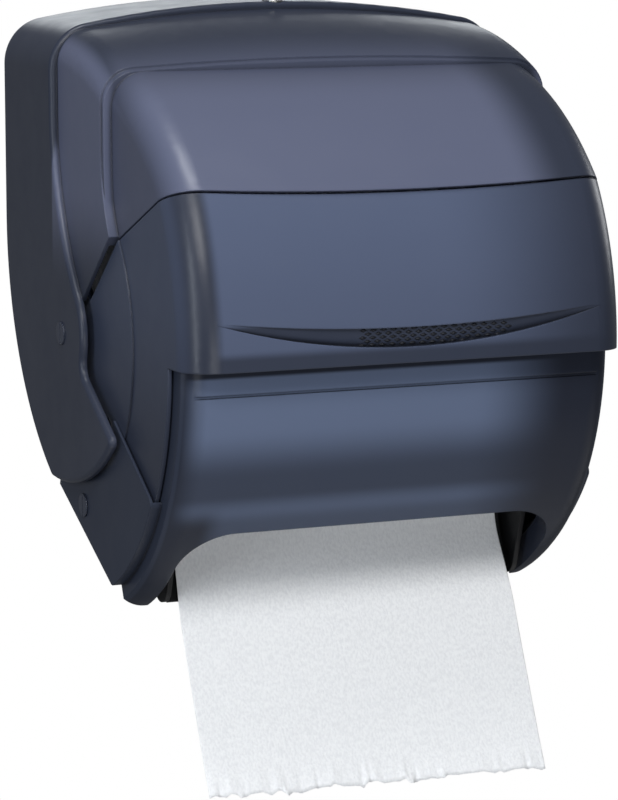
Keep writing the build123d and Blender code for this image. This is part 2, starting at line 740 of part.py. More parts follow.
# Wall plate with ribs, screw holes and lugs for the two roll arms
foot_centre = frame_outer - foot_screw_inset
foot_low = plate_bottom + foot_screw_edge
foot_high = frame_rear_top - foot_screw_edge
lug_near = roll_rise + roll_arm_half + seat_gap
with BuildPart() as wall_plate:
    with BuildSketch(front_plane(0)) as outline:
        with Locations((0, (plate_top + plate_bottom) / 2)):
            RectangleRounded(2 * plate_half, plate_top - plate_bottom, plate_corner)
        with Locations((0, -pivot_rise)):
            with GridLocations(screw_spacing_x, screw_spacing_z, 2, 2):
                Circle(screw_hole, mode=Mode.SUBTRACT)
        with Locations((-foot_centre, foot_low), (-foot_centre, foot_high), (foot_centre, foot_low),
                       (foot_centre, foot_high)):
            Circle(foot_screw_radius + running_gap, mode=Mode.SUBTRACT)
    extrude(amount=plate_thick)
    with BuildSketch(front_plane(plate_thick)):
        with Locations((0, -pivot_rise)):
            with GridLocations(screw_spacing_x - 2 * foot_screw_edge, 0, 2, 1):
                Rectangle(plate_rib, screw_spacing_z)
    extrude(amount=plate_rib_depth)
    for low in (lug_near, 2 * roll_rise - lug_near - arm_lug_height):
        with BuildSketch(top_plane(low)) as lugs:
            for side in (-1, 1):
                with Locations((side * arm_across, -arm_depth)):
                    Circle(arm_barrel)
                with Locations((side * arm_across, -(arm_depth + plate_thick / 2) / 2)):
                    Rectangle(2 * arm_barrel, arm_depth - plate_thick / 2)
                with Locations((side * arm_across, -arm_depth)):
                    Circle(arm_pin_radius + running_gap, mode=Mode.SUBTRACT)
        extrude(amount=arm_lug_height)

# Side frames: one plate each, with a foot screwed to the wall plate
rear_middle = (frame_rear_top + plate_bottom) / 2
rear_height = frame_rear_top - plate_bottom
with BuildPart() as side_frame:
    with BuildSketch(side_plane(frame_outer)) as outline:
        Circle(pivot_boss)
        with Locations(feed_place):
            Circle(feed_boss)
        with Locations(guide_place):
            Circle(guide_boss)
        with Locations(hinge_place):
            Circle(hinge_ear)
        with Locations((wall_line + plate_thick + frame_thick / 2, rear_middle)):
            Rectangle(frame_thick, rear_height)
        make_hull(outline.edges())
        with Locations(hinge_place):
            Circle(pin_radius + running_gap, mode=Mode.SUBTRACT)
        with Locations(feed_place):
            Circle(bush_radius + running_gap, mode=Mode.SUBTRACT)
        with Locations(pinch_place):
            Circle(pinch_shaft_radius + running_gap, mode=Mode.SUBTRACT)
        Circle(stud_radius + running_gap, mode=Mode.SUBTRACT)
    extrude(amount=frame_thick)
    with BuildSketch(front_plane(plate_thick)):
        with Locations((frame_outer - frame_foot / 2, rear_middle)):
            Rectangle(frame_foot, rear_height)
        with Locations((foot_centre, foot_low), (foot_centre, foot_high)):
            Circle(foot_screw_radius + running_gap, mode=Mode.SUBTRACT)
    extrude(amount=frame_thick)

with BuildPart() as frame_screw_pair:
    for height in (foot_low, foot_high):
        with BuildSketch(front_plane(0)):
            with Locations((foot_centre, height)):
                Circle(foot_screw_radius)
        extrude(amount=plate_thick + frame_thick)
        with BuildSketch(front_plane(plate_thick + frame_thick)):
            with Locations((foot_centre, height)):
                Circle(foot_screw_head)
        extrude(amount=foot_screw_head_thick)

# Drive: sector, its stud, and the pinion on the feed shaft
def involute(angle):
    return tan(radians(angle)) - radians(angle)


def tooth_half_angle(count, radius):
    """Half the width of a tooth at a radius, in degrees."""
    pitch = gear_module * count / 2
    base = pitch * cos(radians(pressure_angle))
    slope = degrees(acos(min(1, base / radius)))
    width = pi / (2 * count) - backlash / (4 * pitch)
    return degrees(width + involute(pressure_angle) - involute(slope))


def gear_tooth(count):
    """One tooth on the forward axis of a gear, its root sunk into the body."""
    pitch = gear_module * count / 2
    tip = pitch + addendum_share * gear_module
    root = pitch - dedendum_share * gear_module
    start = max(root, pitch * cos(radians(pressure_angle)))
    middle = (start + tip) / 2
    sunk = root - gear_module / 2
    low, mid, high = (tooth_half_angle(count, radius) for radius in (start, middle, tip))
    with BuildSketch(mode=Mode.PRIVATE) as tooth:
        with BuildLine():
            ThreePointArc(polar(start, low), polar(middle, mid), polar(tip, high))
            Line(polar(tip, high), polar(tip, -high))
            ThreePointArc(polar(tip, -high), polar(middle, -mid), polar(start, -low))
            Polyline(polar(start, -low), polar(sunk, -low), polar(sunk, low), polar(start, low))
        make_face()
    return tooth.sketch


def turned(angle):
    return Location((0, 0, 0), (0, 0, 1), angle)


sector_pitch_angle = 360 / sector_count
sector_low = mesh_angle - tooth_below * sector_pitch_angle - sector_margin_angle
sector_high = mesh_angle + tooth_above * sector_pitch_angle + sector_margin_angle
sector_root = sector_pitch - dedendum_share * gear_module
post_place = polar(pusher_out, post_angle)
with BuildPart() as drive_sector:
    with BuildSketch(side_plane(sector_outer)):
        with BuildLine():
            Line((0, 0), polar(sector_root, sector_low))
            CenterArc((0, 0), sector_root, sector_low, sector_high - sector_low)
            Line(polar(sector_root, sector_high), (0, 0))
        make_face()
        with BuildLine():
            inner_arc = CenterArc((0, 0), sector_hub + sector_spoke, sector_low + spoke_angle,
                                  sector_high - sector_low - 2 * spoke_angle)
            outer_arc = CenterArc((0, 0), sector_root - sector_rim, sector_low + spoke_angle,
                                  sector_high - sector_low - 2 * spoke_angle)
            Line(inner_arc @ 0, outer_arc @ 0)
            Line(inner_arc @ 1, outer_arc @ 1)
        make_face(mode=Mode.SUBTRACT)
        tooth_range = range(-tooth_below, tooth_above + 1)
        with Locations(*[turned(mesh_angle + k * sector_pitch_angle) for k in tooth_range]):
            add(gear_tooth(sector_count))
        Circle(sector_hub)
        with BuildSketch(mode=Mode.PRIVATE) as post_arm:
            Circle(sector_hub)
            with Locations(post_place):
                Circle(post_radius + wall)
            make_hull(post_arm.edges())
        add(post_arm.sketch)
        Circle(stud_radius + running_gap, mode=Mode.SUBTRACT)
    extrude(amount=sector_thick)
    with BuildSketch(side_plane(sector_outer)):
        with Locations(post_place):
            Circle(post_radius)
    extrude(amount=-post_length)

with BuildPart() as sector_stud:
    with BuildSketch(side_plane(frame_inner)):
        Circle(stud_radius)
    extrude(amount=frame_inner - sector_outer - seat_gap)
    with BuildSketch(side_plane(sector_outer + seat_gap)):
        Circle(stud_head_radius)
    extrude(amount=-stud_head)
    with BuildSketch(side_plane(frame_outer)):
        Circle(stud_head_radius)
    extrude(amount=-(sector_offset - seat_gap))

pinion_inner = sector_inner - pinion_side
pinion_outer = sector_outer + pinion_side
pinion_pitch_angle = 360 / pinion_count
first_tooth_angle = mesh_angle + 180 + pinion_pitch_angle / 2
with BuildPart() as drive_pinion:
    with BuildSketch(side_plane(pinion_outer)):
        with Locations(feed_place):
            Circle(pinion_pitch - dedendum_share * gear_module)
            tooth_angles = [first_tooth_angle + k * pinion_pitch_angle for k in range(pinion_count)]
            with Locations(*[turned(angle) for angle in tooth_angles]):
                add(gear_tooth(pinion_count))
            Circle(feed_shaft_radius + running_gap, mode=Mode.SUBTRACT)
    extrude(amount=pinion_outer - pinion_inner)

# Feed roller: shaft, core and three rubber sleeves, in a bush at each end
with BuildPart() as feed_shaft:
    with BuildSketch(side_plane(pinion_outer + stub_count * shaft_stub)):
        with Locations(feed_place):
            Circle(feed_shaft_radius)
    extrude(amount=pinion_outer + stub_count * shaft_stub + frame_outer + shaft_stub)

with BuildPart() as feed_core:
    with BuildSketch(side_plane(0)):
        with Locations(feed_place):
            Circle(feed_core_radius)
            Circle(feed_shaft_radius + running_gap, mode=Mode.SUBTRACT)
    extrude(amount=feed_half, both=True)

with BuildPart() as feed_sleeve:
    with BuildSketch(side_plane(0)):
        with Locations(feed_place):
            Circle(feed_radius)
            Circle(feed_core_radius + running_gap, mode=Mode.SUBTRACT)
    extrude(amount=sleeve_length / 2, both=True)
    chamfer(feed_sleeve.edges().filter_by(GeomType.CIRCLE).group_by(SortBy.RADIUS)[-1], nip_gap)

with BuildPart() as feed_bush:
    with BuildSketch(side_plane(frame_outer + seat_gap)):
        with Locations(feed_place):
            Circle(bush_radius)
            Circle(feed_shaft_radius + running_gap, mode=Mode.SUBTRACT)
    extrude(amount=frame_thick + seat_gap)
    with BuildSketch(side_plane(frame_inner)):
        with Locations(feed_place):
            Circle(bush_flange)
            Circle(feed_shaft_radius + running_gap, mode=Mode.SUBTRACT)
    extrude(amount=bush_flange_thick)

with BuildPart() as pinch_shaft:
    with BuildSketch(side_plane(0)):
        with Locations(pinch_place):
            Circle(pinch_shaft_radius)
    extrude(amount=frame_outer + shaft_stub, both=True)

with BuildPart() as pinch_roller:
    with BuildSketch(side_plane(0)):
        with Locations(pinch_place):
            Circle(pinch_radius)
            Circle(pinch_shaft_radius + running_gap, mode=Mode.SUBTRACT)
    extrude(amount=pinch_half, both=True)

# Towel roll on its core, carried by a plug on each sprung arm
with BuildPart() as towel_roll:
    with BuildSketch(side_plane(0)):
        with Locations(roll_place):
            Circle(roll_radius)
            Circle(core_radius + running_gap, mode=Mode.SUBTRACT)
    extrude(amount=towel_half, both=True)

with BuildPart() as roll_core:
    with BuildSketch(side_plane(0)):
        with Locations(roll_place):
            Circle(core_radius)
            Circle(core_radius - core_wall, mode=Mode.SUBTRACT)
    extrude(amount=towel_half, both=True)

hub_face = frame_inner - roll_arm_thick
with BuildPart() as roll_hub:
    with BuildSketch(side_plane(hub_face)):
        with Locations(roll_place):
            Circle(hub_flange_radius)
    extrude(amount=hub_flange_thick)
    with BuildSketch(side_plane(hub_face - hub_flange_thick)):
        with Locations(roll_place):
            Circle(hub_plug_radius)
    with BuildSketch(side_plane(hub_face - hub_flange_thick - hub_plug_length)):
        with Locations(roll_place):
            Circle(hub_tip_radius)
    loft()

with BuildPart() as roll_arm:
    with BuildSketch(side_plane(frame_inner)) as outline:
        with Locations(roll_place):
            Circle(arm_end_radius)
        with Locations((wall_line + arm_depth + arm_barrel / 2, roll_rise)):
            Rectangle(arm_barrel, 2 * roll_arm_half)
        make_hull(outline.edges())
    extrude(amount=roll_arm_thick)
    with BuildSketch(top_plane(roll_rise - roll_arm_half)):
        with Locations((arm_across, -arm_depth)):
            Circle(arm_barrel)
    extrude(amount=2 * roll_arm_half)
    with BuildSketch(top_plane(roll_rise - roll_arm_half - overrun)):
        with Locations((arm_across, -arm_depth)):
            Circle(arm_pin_radius + running_gap)
    extrude(amount=2 * roll_arm_half + 2 * overrun, mode=Mode.SUBTRACT)

with BuildPart() as arm_pin:
    with BuildSketch(top_plane(2 * roll_rise - lug_near - arm_lug_height)):
        with Locations((arm_across, -arm_depth)):
            Circle(arm_pin_radius)
    extrude(amount=2 * (lug_near - roll_rise + arm_lug_height))
    with BuildSketch(top_plane(lug_near + arm_lug_height)):
        with Locations((arm_across, -arm_depth)):
            Circle(2 * arm_pin_radius)
    extrude(amount=arm_pin_radius)

# Towel sheet from the roll through the nip and out of the mouth
nip_top = (nip_forward, feed_place[1] + feed_radius)
roll_away = hypot(nip_top[0] - roll_place[0], nip_top[1] - roll_place[1])
web_radius = roll_radius + seat_gap
to_roll = degrees(acos((roll_place[0] - nip_top[0]) / roll_away))
web_angle = to_roll - degrees(asin(web_radius / roll_away))
web_length = (roll_away ** 2 - web_radius ** 2) ** 0.5
web_step = polar(web_length, web_angle)
web_start = (nip_top[0] + web_step[0], nip_top[1] + web_step[1])
bend_centre = (nip_forward + sheet_bend, sheet_turn)
with BuildPart() as towel_sheet:
    with BuildSketch(side_plane(0)):
        with BuildLine() as web:
            Line(web_start, nip_top)
            Line(nip_top, (nip_forward, sheet_turn))
            leaning = CenterArc(bend_centre, sheet_bend, 180, sheet_lean_angle)
            fall = sheet_end_drop + (leaning @ 1).Y
            Line(leaning @ 1, leaning @ 1 + Vector(fall * tan(radians(sheet_lean_angle)), -fall))
        trace(web.edges(), sheet_thick)
    extrude(amount=towel_half, both=True)

with BuildPart() as paper_guide:
    with BuildSketch(side_plane(0)):
        with BuildLine() as chute:
            bent = CenterArc(bend_centre, sheet_bend + guide_gap + guide_thick / 2, 180, guide_lean_angle)
            Line(bent @ 1, bent @ 1 + Vector(*polar(guide_run, guide_lean_angle - 90)))
        trace(chute.edges(), guide_thick)
    extrude(amount=frame_inner, both=True)

with BuildPart() as tear_bar:
    with BuildSketch(side_plane(0)):
        with Locations(tear_bar_place):
            Rectangle(tear_bar_depth, tear_bar_height, align=(Align.MIN, Align.MAX))
    extrude(amount=frame_inner, both=True)

blade_top = tear_bar_place[1] - blade_below
blade_root = tear_bar_place[1] - tear_bar_height - blade_out
with BuildPart() as tear_blade:
    with BuildSketch(front_plane(pivot_depth + tear_bar_place[0] - blade_thick)):
        with Locations((0, blade_top)):
            Rectangle(2 * feed_half, blade_top - blade_root, align=(Align.CENTER, Align.MAX))
        with Locations((0, blade_root)):
            with GridLocations(blade_pitch, 0, int(2 * feed_half / blade_pitch), 1):
                Polygon((-blade_pitch / 2, 0), (0, -blade_tooth), (blade_pitch / 2, 0), align=None)
    extrude(amount=blade_thick)

# Lock in the top of the hood, and the catch behind it on the wall plate
lock_bottom = hood_top + lock_proud - lock_length
with BuildPart() as lock_barrel:
    with BuildSketch(top_plane(lock_bottom)):
        with Locations((0, -lock_forward_of_wall)):
            Circle(lock_radius)
    extrude(amount=lock_length)
    with BuildSketch(top_plane(lock_bottom + lock_length)):
        with Locations((0, -lock_forward_of_wall)):
            Rectangle(lock_radius, lock_slot)
    extrude(amount=-lock_slot_depth, mode=Mode.SUBTRACT)

with BuildPart() as lock_cam:
    with BuildSketch(top_plane(lock_bottom)):
        with Locations((0, -lock_forward_of_wall)):
            Circle(lock_radius)
        with Locations((0, -lock_forward_of_wall + cam_length / 2)):
            Rectangle(2 * cam_half, cam_length)
    extrude(amount=-cam_thick)

catch_top = lock_bottom - catch_drop
lip_depth = lock_forward_of_wall + cam_half + catch_lip_gap
with BuildPart() as lock_catch:
    with BuildSketch(side_plane(catch_near)):
        with BuildLine():
            Polyline(
                (wall_line + plate_thick, catch_top),
                (wall_line + lip_depth, catch_top),
                (wall_line + lip_depth, lock_bottom + catch_lip_rise),
                (wall_line + lip_depth + catch_thick, lock_bottom + catch_lip_rise),
                (wall_line + lip_depth + catch_thick, catch_top - catch_thick),
                (wall_line + plate_thick, catch_top - catch_thick),
                close=True,
            )
        make_face()
    extrude(amount=catch_near - catch_far)

both_sides = {
    "lever_pin": lever_pin.part,
    "hinge_pin": hinge_pin.part,
    "side_frame": side_frame.part,
    "frame_screws": frame_screw_pair.part,
    "feed_bush": feed_bush.part,
    "roll_hub": roll_hub.part,
    "roll_arm": roll_arm.part,
    "arm_pin": arm_pin.part,
}
nodes = {
    "upper_cover": upper_cover.part,
    "lower_cover": lower_cover.part,
    "lever": lever.part,
    "wall_plate": wall_plate.part,
    "sector_stud": sector_stud.part,
    "drive_sector": drive_sector.part,
    "drive_pinion": drive_pinion.part,
    "feed_shaft": feed_shaft.part,
    "feed_core": feed_core.part,
    "feed_sleeve_left": feed_sleeve.part.moved(Location((-sleeve_pitch, 0, 0))),
    "feed_sleeve_middle": feed_sleeve.part.moved(Location((0, 0, 0))),
    "feed_sleeve_right": feed_sleeve.part.moved(Location((sleeve_pitch, 0, 0))),
    "pinch_shaft": pinch_shaft.part,
    "pinch_roller": pinch_roller.part,
    "towel_roll": towel_roll.part,
    "roll_core": roll_core.part,
    "towel_sheet": towel_sheet.part,
    "paper_guide": paper_guide.part,
    "tear_bar": tear_bar.part,
    "tear_blade": tear_blade.part,
    "lock_barrel": lock_barrel.part,
    "lock_cam": lock_cam.part,
    "lock_catch": lock_catch.part,
}
for name, piece in both_sides.items():
    nodes[f"{name}_right"] = piece
    nodes[f"{name}_left"] = mirror(piece, about=Plane.YZ)
for name, piece in nodes.items():
    piece.label = name
    export_step(piece, f"parts/{name}.step")
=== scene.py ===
# %% [markdown]
# # A lever towel dispenser, dressed around its CAD frame
# The dispenser hangs on a washroom wall. A roll of paper sits behind smoky covers, and each press
# on the lever feeds a length of towel out of the mouth. Its solids were made in CAD and are loaded
# here as a fixed frame, which nothing moves or changes. Each step below makes one thing for the
# eye, lets it ride on the body that carries it, and prints what it made. Lengths are metres in the
# frame's axes: X to the right, Y into the wall, Z up, the origin on the wall between the screws.

import json
import math

import bmesh
import bpy
import numpy as np
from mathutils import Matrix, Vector


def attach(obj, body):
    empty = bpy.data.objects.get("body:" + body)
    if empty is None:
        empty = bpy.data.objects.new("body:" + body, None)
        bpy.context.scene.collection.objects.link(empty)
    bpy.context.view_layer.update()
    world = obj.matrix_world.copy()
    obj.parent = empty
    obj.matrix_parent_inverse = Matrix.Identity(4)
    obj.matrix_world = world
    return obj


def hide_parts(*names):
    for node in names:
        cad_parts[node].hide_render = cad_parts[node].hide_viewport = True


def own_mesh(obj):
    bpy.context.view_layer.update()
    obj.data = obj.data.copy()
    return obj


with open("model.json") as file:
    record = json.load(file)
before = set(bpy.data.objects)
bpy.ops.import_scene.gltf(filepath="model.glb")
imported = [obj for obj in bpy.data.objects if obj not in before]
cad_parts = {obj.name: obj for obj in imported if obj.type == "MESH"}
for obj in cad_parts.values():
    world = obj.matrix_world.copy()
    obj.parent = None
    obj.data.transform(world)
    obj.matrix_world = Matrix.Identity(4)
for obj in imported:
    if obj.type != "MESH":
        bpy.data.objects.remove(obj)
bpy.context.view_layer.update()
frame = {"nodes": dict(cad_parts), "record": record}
scene = bpy.context.scene
scene.view_settings.view_transform = "Standard"
record = frame["record"]
body_of = {node: body for body, nodes in record["behaviour"]["bodies"].items() for node in nodes}
slot_of = {sub["node"]: sub["material_slot"] for sub in record["subparts"]}

# %% [markdown]
# ## A side view in millimetres
# The covers, the lever and the roll are all drawn around one line, the lever's pivot. Their places
# could be written in the frame's metres, but no number would then say how far it lies from that
# line. So `at` takes millimetres across, forward and up from the pivot, as on a drawing of the
# side view, and gives the point in the frame.

# %% Places and new objects
MM = 0.001
PIVOT_DEPTH = 107.0
PIVOT_RISE = -60.0


def at(across, forward, up):
    return Vector((across, -(PIVOT_DEPTH + forward), PIVOT_RISE + up)) * MM


def add_object(name, data):
    made = bpy.data.objects.new(name, data)
    scene.collection.objects.link(made)
    return made


print("pivot at", tuple(round(v, 4) for v in at(0, 0, 0)))

# %% [markdown]
# ## Camera
# The picture to match was taken through a long lens, from the left and a little above, so the
# covers' edges run almost parallel. A camera could be dragged about until the outline fits, but
# that is hard to do twice. Here two angles and a distance around a point set it. They were fitted
# to the picture's edges, and the camera's turn is worked out from them.

# %% Set the camera
AZIMUTH = math.radians(-22.75)
ELEVATION = math.radians(8.93)
DISTANCE = 2.0216
AIM = Vector((-0.0004, -0.140, -0.1042))
LENS, SENSOR = 150.93, 36.0

back = Vector((
    math.sin(AZIMUTH) * math.cos(ELEVATION),
    -math.cos(AZIMUTH) * math.cos(ELEVATION),
    math.sin(ELEVATION),
))
camera = add_object("camera", bpy.data.cameras.new("camera"))
camera.data.lens = LENS
camera.data.sensor_width = SENSOR
camera.location = AIM + back * DISTANCE
camera.rotation_mode = "QUATERNION"
camera.rotation_quaternion = (-back).to_track_quat("-Z", "Y")
scene.camera = camera
print("camera at", tuple(round(v, 3) for v in camera.location))

# %% [markdown]
# ## Stage
# The dispenser is shown by itself on white. A white wall behind it would do that, but it would
# also throw light on the covers and wash them out. So the stage's material is matt grey to the
# lamps, and plain white at a strength of 1 wherever the camera or a reflection looks at it. The
# Light Path node tells the two apart. Two helpers shorten this tree and all later ones: `feed`
# links or sets a node's input, and `maths` does a sum.

# %% Stage material
STAGE_GREY = (0.45, 0.45, 0.45, 1)
WHITE = (1, 1, 1, 1)


def feed(tree, socket, value):
    """Link another socket to this one, or set it to a plain value."""
    if isinstance(value, bpy.types.NodeSocket):
        tree.links.new(value, socket)
    else:
        socket.default_value = value


def maths(tree, operation, *values):
    made = tree.nodes.new("ShaderNodeMath")
    made.operation = operation
    for socket, value in zip(made.inputs, values):
        feed(tree, socket, value)
    return made.outputs[0]


pale = bpy.data.materials.new("stage_pale")
pale.use_nodes = True
tree = pale.node_tree
tree.nodes.clear()
out = tree.nodes.new("ShaderNodeOutputMaterial")
mix = tree.nodes.new("ShaderNodeMixShader")
matt = tree.nodes.new("ShaderNodeBsdfDiffuse")
matt.inputs["Color"].default_value = STAGE_GREY
glow = tree.nodes.new("ShaderNodeEmission")
glow.inputs["Color"].default_value = WHITE
rays = tree.nodes.new("ShaderNodeLightPath").outputs
seen = maths(tree, "MAXIMUM", rays["Is Camera Ray"], rays["Is Glossy Ray"])
seen = maths(tree, "MAXIMUM", seen, rays["Is Transmission Ray"])
tree.links.new(seen, mix.inputs["Fac"])
tree.links.new(matt.outputs[0], mix.inputs[1])
tree.links.new(glow.outputs[0], mix.inputs[2])
tree.links.new(mix.outputs[0], out.inputs["Surface"])
print("stage material", pale.name)

# %% [markdown]
# ## Floor and backdrop
# A photographer would hang one wide sheet that runs from the wall to the floor. Here its size
# matters, because plastic that is seen at a low angle mirrors whatever white lies behind it. The
# floor therefore lies far below and ends just behind the wall's plane, so that the undersides stay
# dark. The backdrop is only as wide and as high as the picture needs.

# %% Lay the floor and hang the backdrop
FLOOR = -1.8
FLOOR_LEFT, FLOOR_RIGHT, FLOOR_FRONT, FLOOR_BACK = -1.6, 3.4, -2.4, 0.3
DROP_LEFT, DROP_RIGHT, DROP_DEPTH, DROP_TOP = 0.9, 2.7, 4.0, 0.3


def stage_plane(name, corners):
    mesh = bpy.data.meshes.new(name)
    mesh.from_pydata(corners, [], [(0, 1, 2, 3)])
    mesh.materials.append(pale)
    add_object(name, mesh)


stage_plane("floor", [
    (FLOOR_LEFT, FLOOR_FRONT, FLOOR),
    (FLOOR_RIGHT, FLOOR_FRONT, FLOOR),
    (FLOOR_RIGHT, FLOOR_BACK, FLOOR),
    (FLOOR_LEFT, FLOOR_BACK, FLOOR),
])
stage_plane("backdrop", [
    (DROP_LEFT, DROP_DEPTH, FLOOR),
    (DROP_RIGHT, DROP_DEPTH, FLOOR),
    (DROP_RIGHT, DROP_DEPTH, DROP_TOP),
    (DROP_LEFT, DROP_DEPTH, DROP_TOP),
])
print("floor at", FLOOR, "m, backdrop", round(DROP_RIGHT - DROP_LEFT, 1), "m wide")

# %% [markdown]
# ## Light
# Smoky plastic shows its shape by broad, soft highlights: one along the top of each step, one down
# the left edges and a thin rim on the right. A picture of a studio could light it, but lamps are
# easier to aim and need no file. A large key stands at the upper left, with a soft light above and
# a fill in front. A tall strip draws the left edges, and three weak lamps at the right and behind
# lift the rims. The world only opens the deepest shadows.

# %% World and lamps
AMBIENT, AMBIENT_STRENGTH = (0.92, 0.95, 1.0, 1), 0.17
MIDDLE = Vector((0.0, -0.16, -0.05))
# Each lamp's place and its two sides in metres, its watts and its colour.
LAMPS = {
    "key": ((-0.9, -2.0, 1.6), (0.8, 0.8), 31.0, (1.0, 0.99, 0.98)),
    "top": ((-0.25, -0.5, 1.9), (0.9, 0.5), 22.0, (0.96, 0.98, 1.0)),
    "fill": ((-0.3, -2.5, -0.4), (1.0, 1.0), 12.0, (0.96, 0.98, 1.0)),
    "strip": ((-1.75, -1.15, 0.3), (0.3, 1.4), 14.0, (0.88, 0.94, 1.0)),
    "right": ((2.0, 0.35, 0.5), (0.8, 0.8), 9.0, (0.97, 0.98, 1.0)),
    "rear": ((0.9, 2.2, -0.5), (1.0, 0.6), 7.0, (0.97, 0.98, 1.0)),
    "sky": ((0.8, 2.2, 0.75), (1.4, 0.6), 6.0, (0.92, 0.97, 1.0)),
}

world = bpy.data.worlds.new("studio")
world.use_nodes = True
ambient = world.node_tree.nodes["Background"]
ambient.inputs["Color"].default_value = AMBIENT
ambient.inputs["Strength"].default_value = AMBIENT_STRENGTH
scene.world = world
for name, (place, sides, watts, colour) in LAMPS.items():
    light = bpy.data.lights.new(name, "AREA")
    light.shape = "RECTANGLE"
    light.size, light.size_y = sides
    light.energy = watts
    light.color = colour
    lamp = add_object(name, light)
    lamp.location = place
    lamp.rotation_euler = (MIDDLE - Vector(place)).to_track_quat("-Z", "Y").to_euler()
print(len(LAMPS), "lamps of", sum(watts for _, _, watts, _ in LAMPS.values()), "W in all")

# %% [markdown]
# ## Patterns on object coordinates
# Every finish here needs soft random patterns: a drift of colour, a wandering gloss, a grain.
# Painted images could carry them, but they need each piece to be unwrapped. Noise on object
# coordinates needs no unwrapping, keeps its size on every piece, and stays on a piece that moves.

# %% Colours and noise
NOISE_LOW, NOISE_HIGH = 0.3, 0.7


def srgb(r, g, b):
    """A colour as it is seen on a screen, 0 to 255, as the linear colour that a shader takes."""
    parts = []
    for v in (r, g, b):
        v /= 255
        parts.append(v / 12.92 if v <= 0.04045 else ((v + 0.055) / 1.055) ** 2.4)
    return (*parts, 1.0)


def noise(tree, scale, detail, stretch=None):
    """Noise over object coordinates, stretched along the axes if asked."""
    vector = tree.nodes.new("ShaderNodeTexCoord").outputs["Object"]
    if stretch:
        mapping = tree.nodes.new("ShaderNodeMapping")
        mapping.inputs["Scale"].default_value = stretch
        tree.links.new(vector, mapping.inputs["Vector"])
        vector = mapping.outputs["Vector"]
    made = tree.nodes.new("ShaderNodeTexNoise")
    made.inputs["Detail"].default_value = detail
    tree.links.new(vector, made.inputs["Vector"])
    feed(tree, made.inputs["Scale"], scale)
    return made.outputs["Fac"]


def between(tree, value, low, high):
    """Noise, whose values crowd round the middle, spread out from low to high."""
    made = tree.nodes.new("ShaderNodeMapRange")
    made.inputs["From Min"].default_value = NOISE_LOW
    made.inputs["From Max"].default_value = NOISE_HIGH
    tree.links.new(value, made.inputs["Value"])
    feed(tree, made.inputs["To Min"], low)
    feed(tree, made.inputs["To Max"], high)
    return made.outputs["Result"]


print("mid grey on a screen is", round(srgb(128, 128, 128)[0], 3), "in a shader")

# %% [markdown]
# ## The skin of moulded plastic
# Moulded plastic is never one flat colour: it drifts a little, its gloss wanders, and a fine grain
# from the mould breaks up the highlights. No moulded edge is truly sharp either. Those edges could
# be bevelled in the mesh, but a Bevel node that only turns the normals costs no faces and suits
# CAD shapes. All of it is one node group, built once, and each material gives it its own values.

# %% Build the skin group
DRIFT_SCALE, DRIFT_DETAIL = 9.0, 3.0
GLOSS_SCALE, GLOSS_DETAIL = 45.0, 5.0
GRAIN_HEIGHT, GRAIN_DETAIL = 0.0002, 2.0
EDGE_SAMPLES = 6


def blend(tree, share, first, second):
    made = tree.nodes.new("ShaderNodeMix")
    made.data_type = "RGBA"
    feed(tree, made.inputs["Factor"], share)
    feed(tree, made.inputs["A"], first)
    feed(tree, made.inputs["B"], second)
    return made.outputs["Result"]


def new_group(name, inputs, outputs):
    """A shader group with named sockets, and the nodes at its two ends."""
    group = bpy.data.node_groups.new(name, "ShaderNodeTree")
    for way, sockets in (("INPUT", inputs), ("OUTPUT", outputs)):
        for socket, kind in sockets.items():
            group.interface.new_socket(name=socket, in_out=way, socket_type="NodeSocket" + kind)
    return group, group.nodes.new("NodeGroupInput").outputs, group.nodes.new("NodeGroupOutput").inputs


skin, given, result = new_group(
    "moulded_skin",
    {
        "Colour": "Color",
        "Drift": "Color",
        "Rough low": "Float",
        "Rough high": "Float",
        "Grain scale": "Float",
        "Grain": "Float",
        "Edge round": "Float",
    },
    {"Colour": "Color", "Roughness": "Float", "Normal": "Vector"},
)
drift = blend(skin, noise(skin, DRIFT_SCALE, DRIFT_DETAIL), given["Colour"], given["Drift"])
skin.links.new(drift, result["Colour"])
gloss = noise(skin, GLOSS_SCALE, GLOSS_DETAIL)
skin.links.new(between(skin, gloss, given["Rough low"], given["Rough high"]), result["Roughness"])
edge = skin.nodes.new("ShaderNodeBevel")
edge.samples = EDGE_SAMPLES
skin.links.new(given["Edge round"], edge.inputs["Radius"])
grain = skin.nodes.new("ShaderNodeBump")
grain.inputs["Distance"].default_value = GRAIN_HEIGHT
skin.links.new(given["Grain"], grain.inputs["Strength"])
skin.links.new(noise(skin, given["Grain scale"], GRAIN_DETAIL), grain.inputs["Height"])
skin.links.new(edge.outputs["Normal"], grain.inputs["Normal"])
skin.links.new(grain.outputs["Normal"], result["Normal"])
print("group", skin.name, "of", len(skin.nodes), "nodes")

# %% [markdown]
# ## Plain finishes
# Behind the covers there are black structural plastic, pale arms, rubber sleeves, a card core and
# steel pins, and the lock is plated. Each could have a tree of nodes of its own. They differ only
# in colour, gloss and grain, and in being metal or not, so one function makes them all from the
# skin group. What is the same all over a piece is set on the shader's own socket.

# %% Make the plain finishes
EDGE_ROUND = 0.0012
FINE_GRAIN = (1500.0, 0.06)


def place_group(tree, group, values):
    made = tree.nodes.new("ShaderNodeGroup")
    made.node_tree = group
    for name, value in values.items():
        feed(tree, made.inputs[name], value)
    return made.outputs


